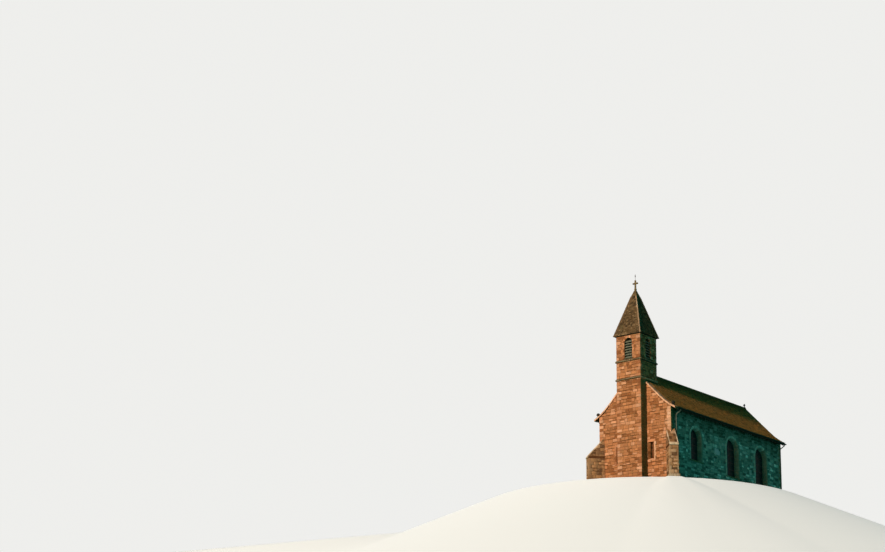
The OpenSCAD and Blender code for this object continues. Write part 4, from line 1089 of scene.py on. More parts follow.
# %% Rubble of the side and rear walls
# Each window's middle from the front, its width, and the foot and crown of its glass.
windows = [(nave_front + middle, wide / 2, glass_foot, crown - wide / 2) for middle, wide, glass_foot, crown in
           ((3.73, 1.65, 2.34, 5.04), (9.38, 1.85, 1.92, 5.21), (13.95, 1.85, 1.92, 5.21))]
under_eaves = below(lambda u: 6.235 + 0 * u)
doorway, door_spring, rear_face, rear_inside = (0.646, 0.833), 2.05, nave_rear + 0.024, nave_rear - 0.70
glass_in, glass_out = (corner[0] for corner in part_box("glazing_right"))


def rubble_wall(plane, left, right, top, cuts):
    return face_stones(plane, rubble_courses(left, right, top), joint=0.018, lift=0.012, edge=0.026, rough=0.006,
                       cuts=cuts)


for side, name in ((1, "right"), (-1, "left")):
    plane = wall_plane((side * nave_half, 0, 0), (side, 0, 0))
    cuts = [round_headed(side * y, half + 0.09, foot - 0.22, spring) for y, half, foot, spring in windows]
    wall_ends = sorted((side * nave_front, side * nave_rear))
    points, faces, tone, rim = rubble_wall(plane, *wall_ends, 6.3, cuts + [under_eaves])
    centres = points.reshape(-1, stone_points, 3).mean(1)
    painted_corner_shade = (centres[:, 1] < nave_front + 0.74) & (centres[:, 2] > 3.4)      # painted shade: dark tones at the front corner, high up
    tone = np.where(painted_corner_shade.repeat(stone_faces), 0.1 * tone, tone)
    make_piece("side_rubble_" + name, points, faces, tone, rim, rubble, "rubble")
cuts = [round_headed(0.0, 0.65 + 0.09, -1.0, door_spring), under_roof]
plane = wall_plane((0, nave_rear, 0), (0, 1, 0))
make_piece("rear_rubble", *rubble_wall(plane, -nave_half, nave_half, 9.9, cuts), rubble, "rubble")
tell("rubble", 3)

# %% Dressings and sills of the windows
def arch_ring(middle, spring, radii_out, radii_in, place, count):
    """Arch stones between an outer plane and an inner one; place(u, v, deep) gives a point."""
    slack = 0.003 / radii_out[0]
    return [[[[place(middle + radii[n] * math.cos(a), spring + radii[n] * math.sin(a), deep)
               for deep, radii in enumerate((radii_out, radii_in))] for n in (0, 1)]
             for a in (start + slack, stop - slack)] for start, stop in pairs(np.linspace(0, math.pi, count + 1))]


dressings, sills = [], []
face_x, sill_x = nave_half + 0.024, nave_half + 0.063
for y, half, foot, spring in windows:
    r_out, r_in, r_far = half - 0.003, half - 0.144, half + 0.183

    def on_reveal(u, v, deep):
        return glass_in if deep else face_x, u, v

    def jamb_z(x, part):
        """A height between the sloping sill, 0, and the spring of the arch, 1."""
        sill_z = foot - (x - nave_half + 0.36) / 0.42 * 0.14
        return sill_z + part * (spring - sill_z)

    ring = arch_ring(y, spring, (r_out, r_far), (r_in, r_far), on_reveal, 13)
    for end in (-1, 1):
        outline = (face_x, r_out), (face_x, r_far), (glass_in, r_far), (glass_in, r_in)
        for low, high in pairs(np.linspace(0, 1, round((spring - foot) / 0.32) + 1)):
            ring.append(beam(*([(x, y + end * r, jamb_z(x, part) + gap) for x, r in outline]
                               for part, gap in ((low, 0.003), (high, -0.003)))))
    dressings += ring + [mirrored(block) for block in ring]
    under = foot - 0.22
    outline = [(glass_in, under - 0.003), (sill_x, under - 0.003), (sill_x, under + 0.083), (glass_in, foot + 0.004)]
    breaks = np.linspace(y - half - 0.183, y + half + 0.183, 4) + (0, *rng.uniform(-0.1, 0.1, 2), 0)
    for start, stop in pairs(breaks):
        sill = drawn_out(outline, lambda x, z, along: (x, along, z), start + 0.002, stop - 0.002)
        sills += [sill, mirrored(sill)]
centres, middles = np.array(dressings).mean((1, 2, 3))[:, 1], np.array([window[0] for window in windows])
far_jamb_shade = centres - middles[np.abs(centres[:, None] - middles).argmin(1)] > 0.55      # the far jambs take dark tones: painted shade
tone = np.where(far_jamb_shade, rng.uniform(0.0, 0.12, len(far_jamb_shade)), rng.uniform(0.2, 1.0, len(far_jamb_shade)))
points, faces, tone, rim = dressed_blocks(dressings, tone=tone)
rim = np.clip((nave_half + 0.012 - np.abs(points[:, 0])) / 0.02, 0, 1)      # painted shade inside the reveals
make_piece("window_dressings", points, faces, tone, rim, window_stone, "dressed_stone")
make_blocks("window_sill_stones", sills, sill_stone, "dressed_stone", edge=0.02)
tell("round the windows", 2)

# %% Rear doorway and corners
blocks = arch_ring(0.0, door_spring, doorway, doorway, lambda u, v, deep: (u, rear_inside if deep else rear_face, v),
                   11)
for side in (-1, 1):
    for low, high in pairs(np.linspace(0, door_spring, 8)):
        blocks.append(cuboid((side * doorway[0], rear_inside, low + 0.003),
                             (side * doorway[1], rear_face, high - 0.003)))
    for row, low, high in corner_rows(front_courses, 0.0, eaves_z):
        along, back = (0.50, 0.26) if row % 2 else (0.28, 0.48)
        blocks.append(cuboid((side * face_x, rear_face, low), (side * (nave_half - along), nave_rear - back, high)))
# Their faces that look to the right are painted dark as shade by their finish.
make_blocks("rear_quoins_and_doorway", blocks, dressed, "dressed_stone")
tell("rear")

# %% [markdown]
# The belfry has one louvred opening in each face, framed by pale arch and jamb stones. The string courses, copings
# and buttress tops are long dressed stones that throw the rain clear of the wall. They are made once for one face
# or one side, and then turned about the tower or mirrored.

# %% Belfry openings
frame_half, frame_y, frame_back = belfry_half - 0.004, tower_front - 0.014, tower_front + 0.12
radii = (frame_half, belfry_half + 0.17)
blocks = arch_ring(0.0, belfry_spring, radii, radii, lambda u, v, deep: (u, frame_back if deep else frame_y, v), 9)
for side in (-1, 1):
    for row, (low, high) in enumerate(pairs(np.linspace(belfry_foot + 0.10, belfry_spring, 6))):
        reach = belfry_half + (0.24 if (row + (side > 0)) % 2 else 0.16)
        blocks.append(cuboid((side * frame_half, frame_y, low + 0.009), (side * reach, frame_back, high - 0.009)))
make_blocks("belfry_frames", all_round(blocks), quoin_stone, "sandstone")

sill_y, sill_back = tower_front - 0.053, tower_front + 0.40
outline = [(sill_y, belfry_foot + 0.002), (sill_back, belfry_foot + 0.002), (sill_back, belfry_foot + 0.104),
           (sill_y, belfry_foot + 0.064)]
sill = drawn_out(outline, lambda y, z, x: (x, y, z), -belfry_half, belfry_half)
# The sills take the string stone: painted dark as shade, and pale at their edges.
make_blocks("belfry_sill_stones", all_round([sill]), string_stone, "dressed_stone")
tell("belfry", 2)

# %% String courses
blocks, tones = [], []
out, bed_y, right_stretch_tone = 0.094, tower_front + 0.02, 0.872       # the lower band's right-hand stretch takes a pale tone
reach, band_y = tower_half + out, tower_front - out
for (band_low, band_high), quarters in ((lower_band, (0, 1, 3)), (upper_band, (0, 1, 2, 3))):
    foot, top = band_low[2], band_high[2]
    for quarter in quarters:
        for start, stop in pairs(np.linspace(-reach, reach, 5) + (0, *rng.uniform(-0.12, 0.12, 3), 0)):
            sections = []
            for u, gap in ((start, 0.0025), (stop, -0.0025)):
                inner_u = np.clip(u, -tower_half, tower_half) + gap
                sections.append([(inner_u, bed_y, foot - 0.003), (u + gap, band_y, foot - 0.003),
                                 (u + gap, band_y, foot + 0.113), (inner_u, bed_y, top + 0.003)])
            blocks.append(turned(beam(*sections), quarter))
            tones.append(right_stretch_tone if quarter == 1 and foot < belfry_foot - 1 else rng.uniform(0.1, 0.8))
points, faces, tone, rim = dressed_blocks(blocks, edge=0.016, tone=tones)
upper_foot = upper_band[0][2]
foot = np.where(points[:, 2] > upper_foot - 0.02, upper_foot, lower_band[0][2])
rim = np.clip((points[:, 2] - foot - 0.085) / 0.03, 0, 1)           # painted highlight on the top edge, painted shade below it
make_piece("string_courses", points, faces, tone, rim, string_stone, "string_stone")
tell("string courses")

# %% Raking copings
coping_low, coping_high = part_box("front_copings")
coping_y, coping_back = coping_low[1] - 0.004, coping_high[1] - 0.002
drop, thick, swept_out = 0.045, 0.159, 0.5               # below the roof's line, of the slab, and past the eaves
joints_x = [tower_half, 1.67, 2.13, 2.60, 3.083, 3.567, coping_high[0] - 0.002]
blocks = []
for x0, x1 in pairs(joints_x):
    sections = []
    for x, gap in ((x0, 0.003), (x1, -0.003)):
        top = np.interp(x, slope_x, slope_z) - max(0.0, x - slope_x[-1]) * swept_out - drop
        sections.append([(x + gap, y, z) for y, z in rectangle(coping_y, top - thick, coping_back, top + 0.004)])
    blocks += [beam(*sections), mirrored(beam(*sections))]
make_blocks("raking_copings", blocks, coping_stone, "coping_stone", edge=0.018)
tell("copings")

# %% [markdown]
# The buttresses stand diagonally at the front corners. Their faces are squared stones with larger blocks at the
# outer edges, a plinth at the foot, and a steep weathering of thin slabs above the drip mould. The work is laid out
# along the buttress's own axes, outwards and across, and turned into place by one small function.

# %% Helpers on the buttress
corner = np.array((nave_half, nave_front))
outwards, across = np.array((1, -1)) / math.sqrt(2), np.array((1, 1)) / math.sqrt(2)
top_z, steep = 4.05, math.tan(math.radians(47.7))        # of the weathering, where it meets the nave's corner
half_b, reach_b, nose_b, inside_b = 0.36, 1.09, 1.16, 0.36
nose_z, plinth_z = top_z - nose_b * steep, 0.30
under_nose = nose_z - 0.112


def on_buttress(u, w, z):
    """u metres outwards from the nave's corner, w metres across, z up."""
    return (*(corner + u * outwards + w * across), z)


def weathering(u):
    return top_z - u * steep


def to_side(w, out):
    """A share of the buttress's half width, in metres. Its sides themselves stand a little further out."""
    return w * (half_b + out) if abs(w) == 1 else w * half_b


def cross_block(w0, w1, ends):
    """A block from w0 to w1 across the buttress. Each end is a way outwards, an underside and a top."""
    return beam(*([on_buttress(u, w, z) for w, z in rectangle(w0, low, w1, high)] for u, low, high in ends))


print("the weathering falls from", top_z, "to", round(nose_z, 2), "m")

# %% Buttress stones and corner blocks
courses_b = course_heights(4.6, 0.24, 0.34)
stones, blocks = [], []
for foot_at, facing, wall_ends, uphill in (((0, half_b), across, (-reach_b, inside_b), 1),
                                           ((0, -half_b), -across, (-inside_b, reach_b), -1),
                                           ((reach_b, 0), outwards, (-half_b, half_b), 0)):
    plane = wall_plane(on_buttress(*foot_at, 0), (*facing, 0))
    if uphill:
        upper = squared_courses(*wall_ends, courses_b, nose_z + 0.04, 4.5)
        stones.append(face_stones(plane, upper, cuts=[below(lambda u: top_z - 0.02 + uphill * u * steep)]))
    stones.append(face_stones(plane, squared_courses(*wall_ends, courses_b, plinth_z, under_nose)))
for row, low, high in corner_rows(courses_b, plinth_z, under_nose):
    for side in (-1, 1):
        back, wide = (0.44, 0.09) if (row + (side > 0)) % 2 else (0.26, 0.15)
        outline = rectangle(reach_b + proud, side * (half_b + proud), reach_b - back, side * (half_b - wide))
        blocks.append(drawn_out(outline, on_buttress, low, high))
right_side = joined(stones)
make_piece("buttress_stones_right", *right_side, buttress_stone, "buttress_stone")
make_piece("buttress_stones_left", *mirror_image(*right_side), buttress_stone, "buttress_stone")
tell("buttresses", 2)

# %% Plinth, slabs and drip mould
slabs, pale = [], []
for low, high, out_low, out_high in ((0.002, 0.219, 0.102, 0.102), (0.221, 0.302, 0.104, 0.004)):      # the plinth
    for w0, w1 in ((-1, -0.30), (-0.30, 0.35), (0.35, 1)):
        for u0, u1 in ((-0.40, 0.45 * reach_b), (0.45 * reach_b, None)):
            pale.append(beam(*([on_buttress(u, w, z) for u, w in
                                rectangle(u0, to_side(w0, out), u1 or reach_b + out, to_side(w1, out))]
                               for z, out in ((low, out_low), (high, out_high)))))
for row, (u0, u1) in enumerate(pairs(np.linspace(-inside_b, nose_b - 0.11, 6))):
    split = -0.2 if row % 2 else 0.25
    for w0, w1 in ((-1, split), (split, 1)):
        slabs.append(cross_block(to_side(w0, 0.006), to_side(w1, 0.006), [
            (u, weathering(u) - 0.10, weathering(u) + lift)
            for u, lift in ((u0 + 0.002, 0.006), (u1 - 0.002, 0.022))]))
for w0, w1 in ((-1, 0.1), (0.1, 1)):                     # the drip mould at the nose
    pale.append(cross_block(to_side(w0, 0.036), to_side(w1, 0.036), [
        (u, nose_z - 0.114, weathering(u) + 0.024) for u in (nose_b - 0.108, nose_b + 0.004)]))
for side in (-1, 1):                                     # and its return up both edges of the slope
    for u0, u1 in ((-0.05, 0.52), (0.522, nose_b - 0.11)):
        pale.append(cross_block(side * (half_b - 0.05), side * (half_b + 0.016), [
            (u, weathering(u) - 0.12, weathering(u) + 0.026) for u in (u0 + 0.001, u1 - 0.001)]))


def clear_of_nave(blocks):
    """Corners that would lie inside the nave stay there unseen; whole blocks inside it are dropped."""
    blocks = np.array(blocks)
    outside = (blocks[..., 0] > nave_half + 0.01) | (blocks[..., 1] < nave_front - 0.01)
    return blocks[outside.any((1, 2, 3))]


for name, group, edge, finish in (("buttress_quoins", blocks, 0.014, worn_corners),
                                  ("buttress_slabs", slabs, 0.016, buttress_stone),
                                  ("buttress_drip_and_plinth", pale, 0.018, drip_stone)):
    make_blocks(name, with_mirrored(clear_of_nave(group)), finish, "buttress_stone", edge=edge)
tell("buttresses", 3)

# %% [markdown]
# A flat clay tile is hung by its upper end and lies on the row below, so every tile tilts a little and its lower
# edge casts a thin shadow. Tiles are laid along the true profile of the roof, which sweeps out flatter at the
# eaves. Each tile is a closed wedge, slightly arched across, shifted and lifted at random by some millimetres.

# %% Helpers: the slope, and a set of tiles
run = np.concatenate(([0.0], np.cumsum(np.hypot(np.diff(slope_x), np.diff(slope_z)))))      # from the ridge down
row_step, tile_long, tile_wide, overhang, tile_gap = 0.14, 0.205, 0.175, 0.035, 0.0015
low_lift, high_lift, follow = 0.031, 0.012, 0.3          # how far a tile's ends lie off the slope


def roof_point(down, lift):
    """A point a given way down the slope and a given height off it, as x and z."""
    beyond = np.clip(down - run[-1], 0, None)
    x, z = np.interp(down, run, slope_x) + beyond * 0.895, np.interp(down, run, slope_z) - beyond * 0.446
    tilt = np.interp(down, run, np.arctan2(*(np.gradient(a, run) for a in (-slope_z, slope_x))))
    return x + lift * np.sin(tilt), z + lift * np.cos(tilt)


# The ends of a tile: points 0 to 2 are the lower end's top, 3 to 5 its underside, then the upper end's the same way.
tile_faces = np.array(((0, 1, 7, 6), (4, 3, 9, 10), (3, 4, 1, 0), (6, 7, 10, 9), (1, 2, 8, 7), (5, 4, 10, 11),
                       (4, 5, 2, 1), (7, 8, 11, 10), (3, 0, 6, 9), (2, 5, 11, 8)))


def tile_set(lower, upper, left, right, low_lift, high_lift, place, thick=0.013, camber=0.004):
    """Tiles as wedges: arrays of their lower and upper ends, their sides and their height off the roof."""
    count = len(lower)
    points = np.stack([np.stack(place(end, left + (right - left) * part, lift + layer + rise), -1)
                       for end, lift in ((lower, low_lift), (upper, high_lift)) for layer in (0.0, -thick)
                       for part, rise in ((0.0, 0.0), (0.5, camber), (1.0, 0.0))], 1)
    faces = tile_faces + np.arange(count)[:, None, None] * points.shape[1]
    rim = np.tile(np.repeat((1.0, 0.0), 6), count)
    return points.reshape(-1, 3), faces.reshape(-1, 4), rng.random(count).repeat(len(tile_faces)), rim


print("slope", round(run[-1], 2), "m from the ridge to the eaves")

# %% Roof tiles
y_start, y_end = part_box("roof_right")[0][1] + 0.004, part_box("roof_right")[1][1]
tower_back, eaves_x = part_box("tower_rear_wall")[1][1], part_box("roof_right")[1][0]
behind_tower = tower_back + 0.006
tower_run = np.interp(tower_half + 0.012, slope_x, run)  # tiles beside the tower end here
for side, name in ((1, "right"), (-1, "left")):
    tiles = []

    def on_slope(down, y, lift):
        x, z = roof_point(down, lift)
        return side * x, y, z

    for row in range(int((run[-1] - 0.02) / row_step) + 1):
        edges = np.arange(y_start - rng.uniform(0.1, 0.9) * tile_wide, y_end + tile_wide, tile_wide)
        left, right = (np.clip(at, y_start, y_end) for at in (edges[:-1] + tile_gap, edges[1:] - tile_gap))
        at_tower = (left + right) / 2 < tower_back
        left = np.where(~at_tower & (left < behind_tower) & (row_step * row > 3.0), behind_tower, left)
        keep = right - left > 0.03
        left, right, at_tower = left[keep], right[keep], at_tower[keep]
        low_end = run[-1] + overhang - row * row_step + rng.normal(0, 0.003, len(left))
        high_end = np.maximum(low_end - tile_long, np.where(at_tower, tower_run, 0.0))
        keep = low_end - high_end > 0.05
        jitter = rng.normal(0, 0.0035, len(left)).clip(-0.007, 0.009)
        tiles.append(tile_set(*(values[keep] for values in (low_end, high_end, left, right, low_lift + jitter,
                                                            high_lift + follow * jitter)), on_slope))
    points, faces, tone, rim = joined(tiles)
    make_piece("roof_tiles_" + name, points, faces if side < 0 else faces[:, ::-1], tone, rim, roof_clay,
               "roof_tiles", sharp=25)
tell("roof tiles", 2)

# %% [markdown]
# The spire takes the same tiles, smaller and cut along its four edges, where overlapping hip tiles cover the cut.
# A row is shorter than the one below it, so the tiles in a row are counted anew each time.

# %% Spire tiles
foot_half, foot_z, cap_z, apex_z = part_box("spire")[1][0], tower_top + 0.06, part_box("spire")[1][2], tower_top + 4.48
lean = foot_half / (apex_z - foot_z)
slope, step_z, spire_long, spire_wide = math.sqrt(1 + lean ** 2), 0.118, 0.18, 0.15
mid_y = tower_middle[1]


def spire_half(z):
    return foot_half * (apex_z - z) / (apex_z - foot_z)


def spire_point(z, part, lift):
    """part runs from -1 to 1 across the front face of the spire."""
    return part * spire_half(z), mid_y - spire_half(z) - lift / slope, z + lift * lean / slope


tiles = []
for row in range(int((cap_z - foot_z) / step_z) + 1):
    lower = foot_z - overhang + row * step_z
    upper = min(lower + spire_long, cap_z - 0.004)
    if upper - lower < 0.05:
        continue
    half = spire_half(lower)
    count = max(3, round(2 * half / spire_wide))
    edges = np.linspace(-1, 1, count + 1) + (rng.uniform(0.3, 0.7) * 2 / count if row % 2 else 0)
    edges = np.concatenate(([-1.0], edges[(edges > -0.97) & (edges < 0.97)], [1.0]))
    left, right = edges[:-1] + tile_gap / half, edges[1:] - tile_gap / half
    jitter = rng.normal(0, 0.004, len(left)).clip(-0.006, 0.010)
    low_end = np.full(len(left), lower) + rng.normal(0, 0.004, len(left))
    tiles.append(tile_set(low_end, np.full(len(left), upper), left, right, 0.028 + jitter, 0.011 + follow * jitter,
                          spire_point, thick=0.012, camber=0.003))
points, faces, tone, rim = joined(tiles)
four = [(turned(points, quarter), faces, rng.permutation(tone.reshape(-1, len(tile_faces))).reshape(-1), rim)
        for quarter in range(4)]
make_piece("spire_tiles", *joined(four), spire_clay, "spire_tiles", sharp=25)
tell("spire")

# %% Hip tiles
hips = []
for low, high in pairs(np.linspace(foot_z - 0.02, cap_z - 0.002, 14)):
    sections = []
    for z, grow in ((low - 0.02, 0.012), (high, 0.0)):
        h, peak, side, wing = spire_half(z), 0.050 + grow, 0.020 + grow, 0.085 + grow / 2
        sections.append([(h + peak, mid_y - h - peak, z), (h + side, mid_y - h + wing, z),
                         (h - 0.03, mid_y - h + 0.03, z), (h - wing, mid_y - h - side, z)])
    hips.append(beam(*sections))
tone = np.concatenate((rng.uniform(0.25, 1.0, len(hips)), rng.uniform(0.0, 0.12, 3 * len(hips))))      # three hips painted dark as shade
make_blocks("hip_tiles", all_round(hips), hip_clay, "hip_stone", ["spire_hips"], edge=0.012, tone=tone)
tell("hips")

# %% [markdown]
# Ridge tiles are half-round and overlap like the segments of a pipe. Each one is a short arch with a thickness of
# its own, wider at the end that lies on its neighbour.

# %% Ridge tiles
ridge_low, ridge_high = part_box("ridge_tiles")
ridge_r, ridge_z, arc = ridge_high[0], ridge_high[2] - ridge_high[0], np.linspace(*np.radians((-12, 192)), 13)
n = len(arc)
faces = [[a * n + k, a * n + k + 1, b * n + k + 1, b * n + k] for a, b in ((0, 1), (2, 0), (1, 3), (3, 2))
         for k in range(n - 1)] + [[0, n, 3 * n, 2 * n], [n - 1, 3 * n - 1, 4 * n - 1, 2 * n - 1]]
caps = []
for start, stop in pairs(np.linspace(ridge_low[1], ridge_high[1], 43)):
    nudge, points = rng.normal(0, 0.003), []
    for y, grow in ((start - 0.03, 0.0), (stop, 0.010)):
        for radius in (ridge_r - 0.010 + grow, ridge_r - 0.028 + grow):
            points.append(np.stack((nudge + radius * np.cos(arc), np.full(n, y), ridge_z + radius * np.sin(arc)), -1))
    caps.append((np.concatenate(points), np.array(faces), np.full(len(faces), rng.random()),
                 np.repeat((0.2, 0.2, 1.0, 1.0), n)))
make_piece("ridge_caps", *joined(caps), ridge_clay, "roof_tiles", ["ridge_tiles"])
tell("ridge")

# %% [markdown]
# The spire ends in a stone cap, a stone cross and a thin rod. The cap and the cross keep their size but get worn,
# rounded edges. Each is built from a few dressed blocks.

# %% Cap and cross
(cap_low, cap_high), (cross_low, cross_high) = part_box("spire_cap"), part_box("cross")
neck_z, cap_top, arm_half = cap_low[2] + 0.50, cap_high[2], (cross_high[1] - cross_low[1]) / 2
neck_half, arm_z = spire_half(neck_z), cap_top + 0.47


def square_block(low_half, low_z, high_half, high_z):
    return beam(*([(x, y, z) for x, y in rectangle(-half, mid_y - half, half, mid_y + half)]
                  for half, z in ((low_half, low_z), (high_half, high_z))))


blocks = [square_block(cap_high[0], cap_low[2], neck_half + 0.09, neck_z - 0.24),
          square_block(neck_half + 0.088, neck_z - 0.236, neck_half, neck_z),
          square_block(neck_half - 0.025, neck_z - 0.01, arm_half + 0.025, cap_top),
          square_block(arm_half, cap_top - 0.02, arm_half * 0.92, cross_high[2])]
for side in (-1, 1):
    blocks.append(cuboid((side * (arm_half - 0.01), mid_y - arm_half * 0.93, arm_z - arm_half),
                         (side * cross_high[0], mid_y + arm_half * 0.93, arm_z + arm_half)))
make_blocks("cap_and_cross", blocks, cap_stone, "cap_stone", ["spire_cap", "cross"], edge=0.022, wear=0.002)
tell("cap and cross")

# %% [markdown]
# Leaded windows are made of small panes held in lead strips, and iron saddle bars carry the weight of the whole.
# Each pane is a thin block of its own that hangs a little askew, so no two of them mirror the same thing. The lead
# strips stand a few millimetres in front, and the bars in front of those.

# %% Helper: a leaded window
pane_wide, pane_tall, bar_step = 0.125, 0.165, 0.55


def leaded(middle, half, foot, spring, place, round_head=True):
    """Panes, lead strips and bars for one window. A flat head lies at the height of the spring."""
    head = spring + half if round_head else spring

    def half_at(v):
        return half if v <= spring else math.sqrt(max(half ** 2 - (v - spring) ** 2, 0.0))

    def top_at(u):
        return spring + math.sqrt(max(half ** 2 - u ** 2, 0.0)) if round_head else spring

    def kept_in(u, v):
        away = math.hypot(u, v - spring)
        return (u * half / away, spring + (v - spring) * half / away) if v > spring and away > half else (u, v)

    def bar(u0, u1, v0, v1, near, far=0.0):
        return drawn_out(rectangle(u0, near, u1, far), lambda u, out, v: place(middle + u, v, out), v0, v1)

    us = np.linspace(-half, half, max(2, round(2 * half / pane_wide)) + 1)
    vs = np.linspace(foot, head, round((head - foot) / pane_tall) + 1)
    panes = []
    for u0, u1 in pairs(us):
        for v0, v1 in pairs(vs):
            corners = [kept_in(u, v) for u, v in rectangle(u0, v0, u1, v1)]
            area = 0.5 * abs(sum(a[0] * b[1] - b[0] * a[1] for a, b in zip(corners, corners[1:] + corners[:1])))
            if area < 0.3 * (u1 - u0) * (v1 - v0):
                continue
            tilt_u, tilt_v = rng.uniform(-0.02, 0.02, 2)
            mid_u, mid_v = (u0 + u1) / 2, (v0 + v1) / 2
            askew = [max(0.0005, 0.003 + tilt_u * (u - mid_u) + tilt_v * (v - mid_v)) for u, v in corners]
            panes.append(beam([place(middle + u, v, 0.006 + out) for (u, v), out in zip(corners, askew)],
                              [place(middle + u, v, 0.0) for u, v in corners]))
    leads = [bar(u - 0.005, u + 0.005, foot, top_at(u), 0.016) for u in us[1:-1]] + \
            [bar(-half_at(v), half_at(v), v - 0.005, v + 0.005, 0.018) for v in vs[1:-1]]
    bars_at = np.linspace(foot, spring, max(2, round((spring - foot) / bar_step)) + 1)[1:]
    return panes, leads, [bar(-half_at(v), half_at(v), v - 0.009, v + 0.009, 0.034, 0.018) for v in bars_at]


# %% Panes, leads and bars
all_panes, all_leads, all_bars = [], [], []
for y, half, foot, spring in windows:
    panes, leads, bars = leaded(y, half - 0.128, foot, spring, lambda u, v, out: (glass_out + out, u, v))
    all_panes, all_leads, all_bars = all_panes + panes, all_leads + leads, all_bars + bars
slit_panes, leads, bars = leaded(slit_x, slit_half, slit_foot, slit_head, lambda u, v, out: (u, slit_y - out, v),
                                 round_head=False)
for name, blocks, finish, slot in (("slit_panes", slit_panes, dusty_glass, "leaded_glass"),
                                   ("window_panes", all_panes, glass, "leaded_glass"),
                                   ("window_leads", all_leads + leads, lead, "leaded_glass"),
                                   ("saddle_bars", all_bars + bars, iron, "iron")):
    make_blocks(name, with_mirrored(blocks), finish, slot, edge=0.003, wear=0.0)
tell("windows", 4)

# %% [markdown]
# Rainwater runs along the eaves into zinc pipes. A pipe is a circle moved along a path: out of the gutter, back to
# the wall in a swan neck, straight down, and out again at the foot. Collars cover the joints between its lengths.

# %% Helpers: round tubes
def tube(path, radius, sides=20, closed=False):
    """A round tube along a path of points; radius may be one value or one for each point."""
    path = np.array(path, float)
    ahead = np.roll(path, -1, 0) - np.roll(path, 1, 0) if closed else np.gradient(path, axis=0)
    ahead /= np.linalg.norm(ahead, axis=1)[:, None]
    aside = np.cross(ahead, (0.0, 1.0, 0.0) if np.ptp(path[:, 1]) < 1e-6 else (1.0, 0.0, 0.0))
    aside /= np.linalg.norm(aside, axis=1)[:, None]
    third = np.cross(ahead, aside)
    angle = np.arange(sides)[None, :, None] * 2 * math.pi / sides
    radius = np.broadcast_to(radius, len(path))[:, None, None]
    points = path[:, None] + radius * (np.cos(angle) * aside[:, None] + np.sin(angle) * third[:, None])
    index = np.arange(len(path) * sides).reshape(len(path), sides)
    low, high = (index, np.roll(index, -1, 0)) if closed else (index[:-1], index[1:])
    faces = np.stack((low, np.roll(low, -1, 1), np.roll(high, -1, 1), high), -1).reshape(-1, 4)
    for ring, order in () if closed else ((index[0], -1), (index[-1], 1)):
        caps = [[ring[k], ring[k + 1], ring[(sides - 2 - k) % sides], ring[(sides - 1 - k) % sides]]
                for k in range(sides // 2 - 1)]
        faces = np.concatenate((faces, np.array(caps)[:, ::order]))
    return points.reshape(-1, 3), faces, np.full(len(faces), 0.5), np.zeros(len(path) * sides)


def rounded(a, b, c):
    """Six points that round the corner b between a and c."""
    start, end = (b + 0.09 * (point - b) / np.linalg.norm(point - b) for point in (a, c))
    return [(1 - t) ** 2 * start + 2 * t * (1 - t) * b + t ** 2 * end for t in np.linspace(0, 1, 6)]


# %% Downpipes
pipe_r, outlet_z = 0.045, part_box("downpipes")[1][2]
gutter_x, pipe_x = eaves_x + 0.075, nave_half + 0.020 + pipe_r
parts = []
for y in (nave_front + 0.73, nave_rear - 0.16):
    top, bend, knee, foot, shoe = (np.array((x, y, z)) for x, z in (
        (gutter_x, outlet_z), (gutter_x, outlet_z - 0.112), (pipe_x, outlet_z - 0.372), (pipe_x, 0.23),
        (pipe_x + 0.12, 0.075)))
    path = [top, *rounded(top, bend, knee), *rounded(bend, knee, foot), *rounded(knee, foot, shoe), shoe]
    parts.append(tube(path, pipe_r - 0.001))
    for z in (knee[2] - 0.16, 4.05, 2.15, 0.34):         # collars, each with a rib and a holder in the wall
        for low, high, grow in ((-0.05, 0.05, 0.006), (0.044, 0.056, 0.010)):
            parts.append(tube([(pipe_x, y, z + low), (pipe_x, y, z + high)], pipe_r + grow))
        holder = cuboid((nave_half - 0.01, y - 0.012, z - 0.02), (pipe_x, y + 0.012, z + 0.02))
        parts.append(dressed_blocks([holder], edge=0.003, wear=0.0))
right_pipes = joined(parts)
make_piece("rain_pipes", *joined([right_pipes, mirror_image(*right_pipes)]), grey_zinc, "grey_zinc", ["downpipes"])
tell("pipes")

# %% [markdown]
# The doorway at the back has a boarded door. Each board is a block of its own with worn edges, so a V-shaped joint
# shows between them. Wrought nails hold the boards to the ledges behind, and an iron ring hangs on a round plate.

# %% Door
(door_low, door_high), (strap_low, strap_high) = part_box("door"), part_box("door_iron")
door_face, door_half, door_foot = door_high[1], door_high[0], door_low[2]
door_back, door_top = door_face - 0.06, door_high[2] - door_half
boards = pairs(np.linspace(-door_half, door_half, 10))
ledges = (strap_low[2] + 0.025, 1.35, strap_high[2] - 0.025)
blocks = []
for u0, u1 in boards:
    tops = [door_top + math.sqrt(max(door_half ** 2 - u ** 2, 0.0)) - 0.001 for u in (u0, u1)]
    u0, u1, foot = u0 + 0.001, u1 - 0.001, door_foot + 0.004
    outline = [(u0, foot), (u1, foot), (u1, tops[1]), (u0, tops[0])]
    blocks.append(drawn_out(outline, lambda x, z, y: (x, y, z), door_back, door_face - rng.uniform(0.0, 0.003)))
for z in ledges:
    blocks.append(cuboid((-door_half + 0.03, door_back - 0.032, z - 0.07),
                         (door_half - 0.03, door_back + 0.002, z + 0.07)))
make_blocks("door_boards", blocks, door_wood, "door_wood", ["door"], edge=0.007, wear=0.0006)
tell("door")

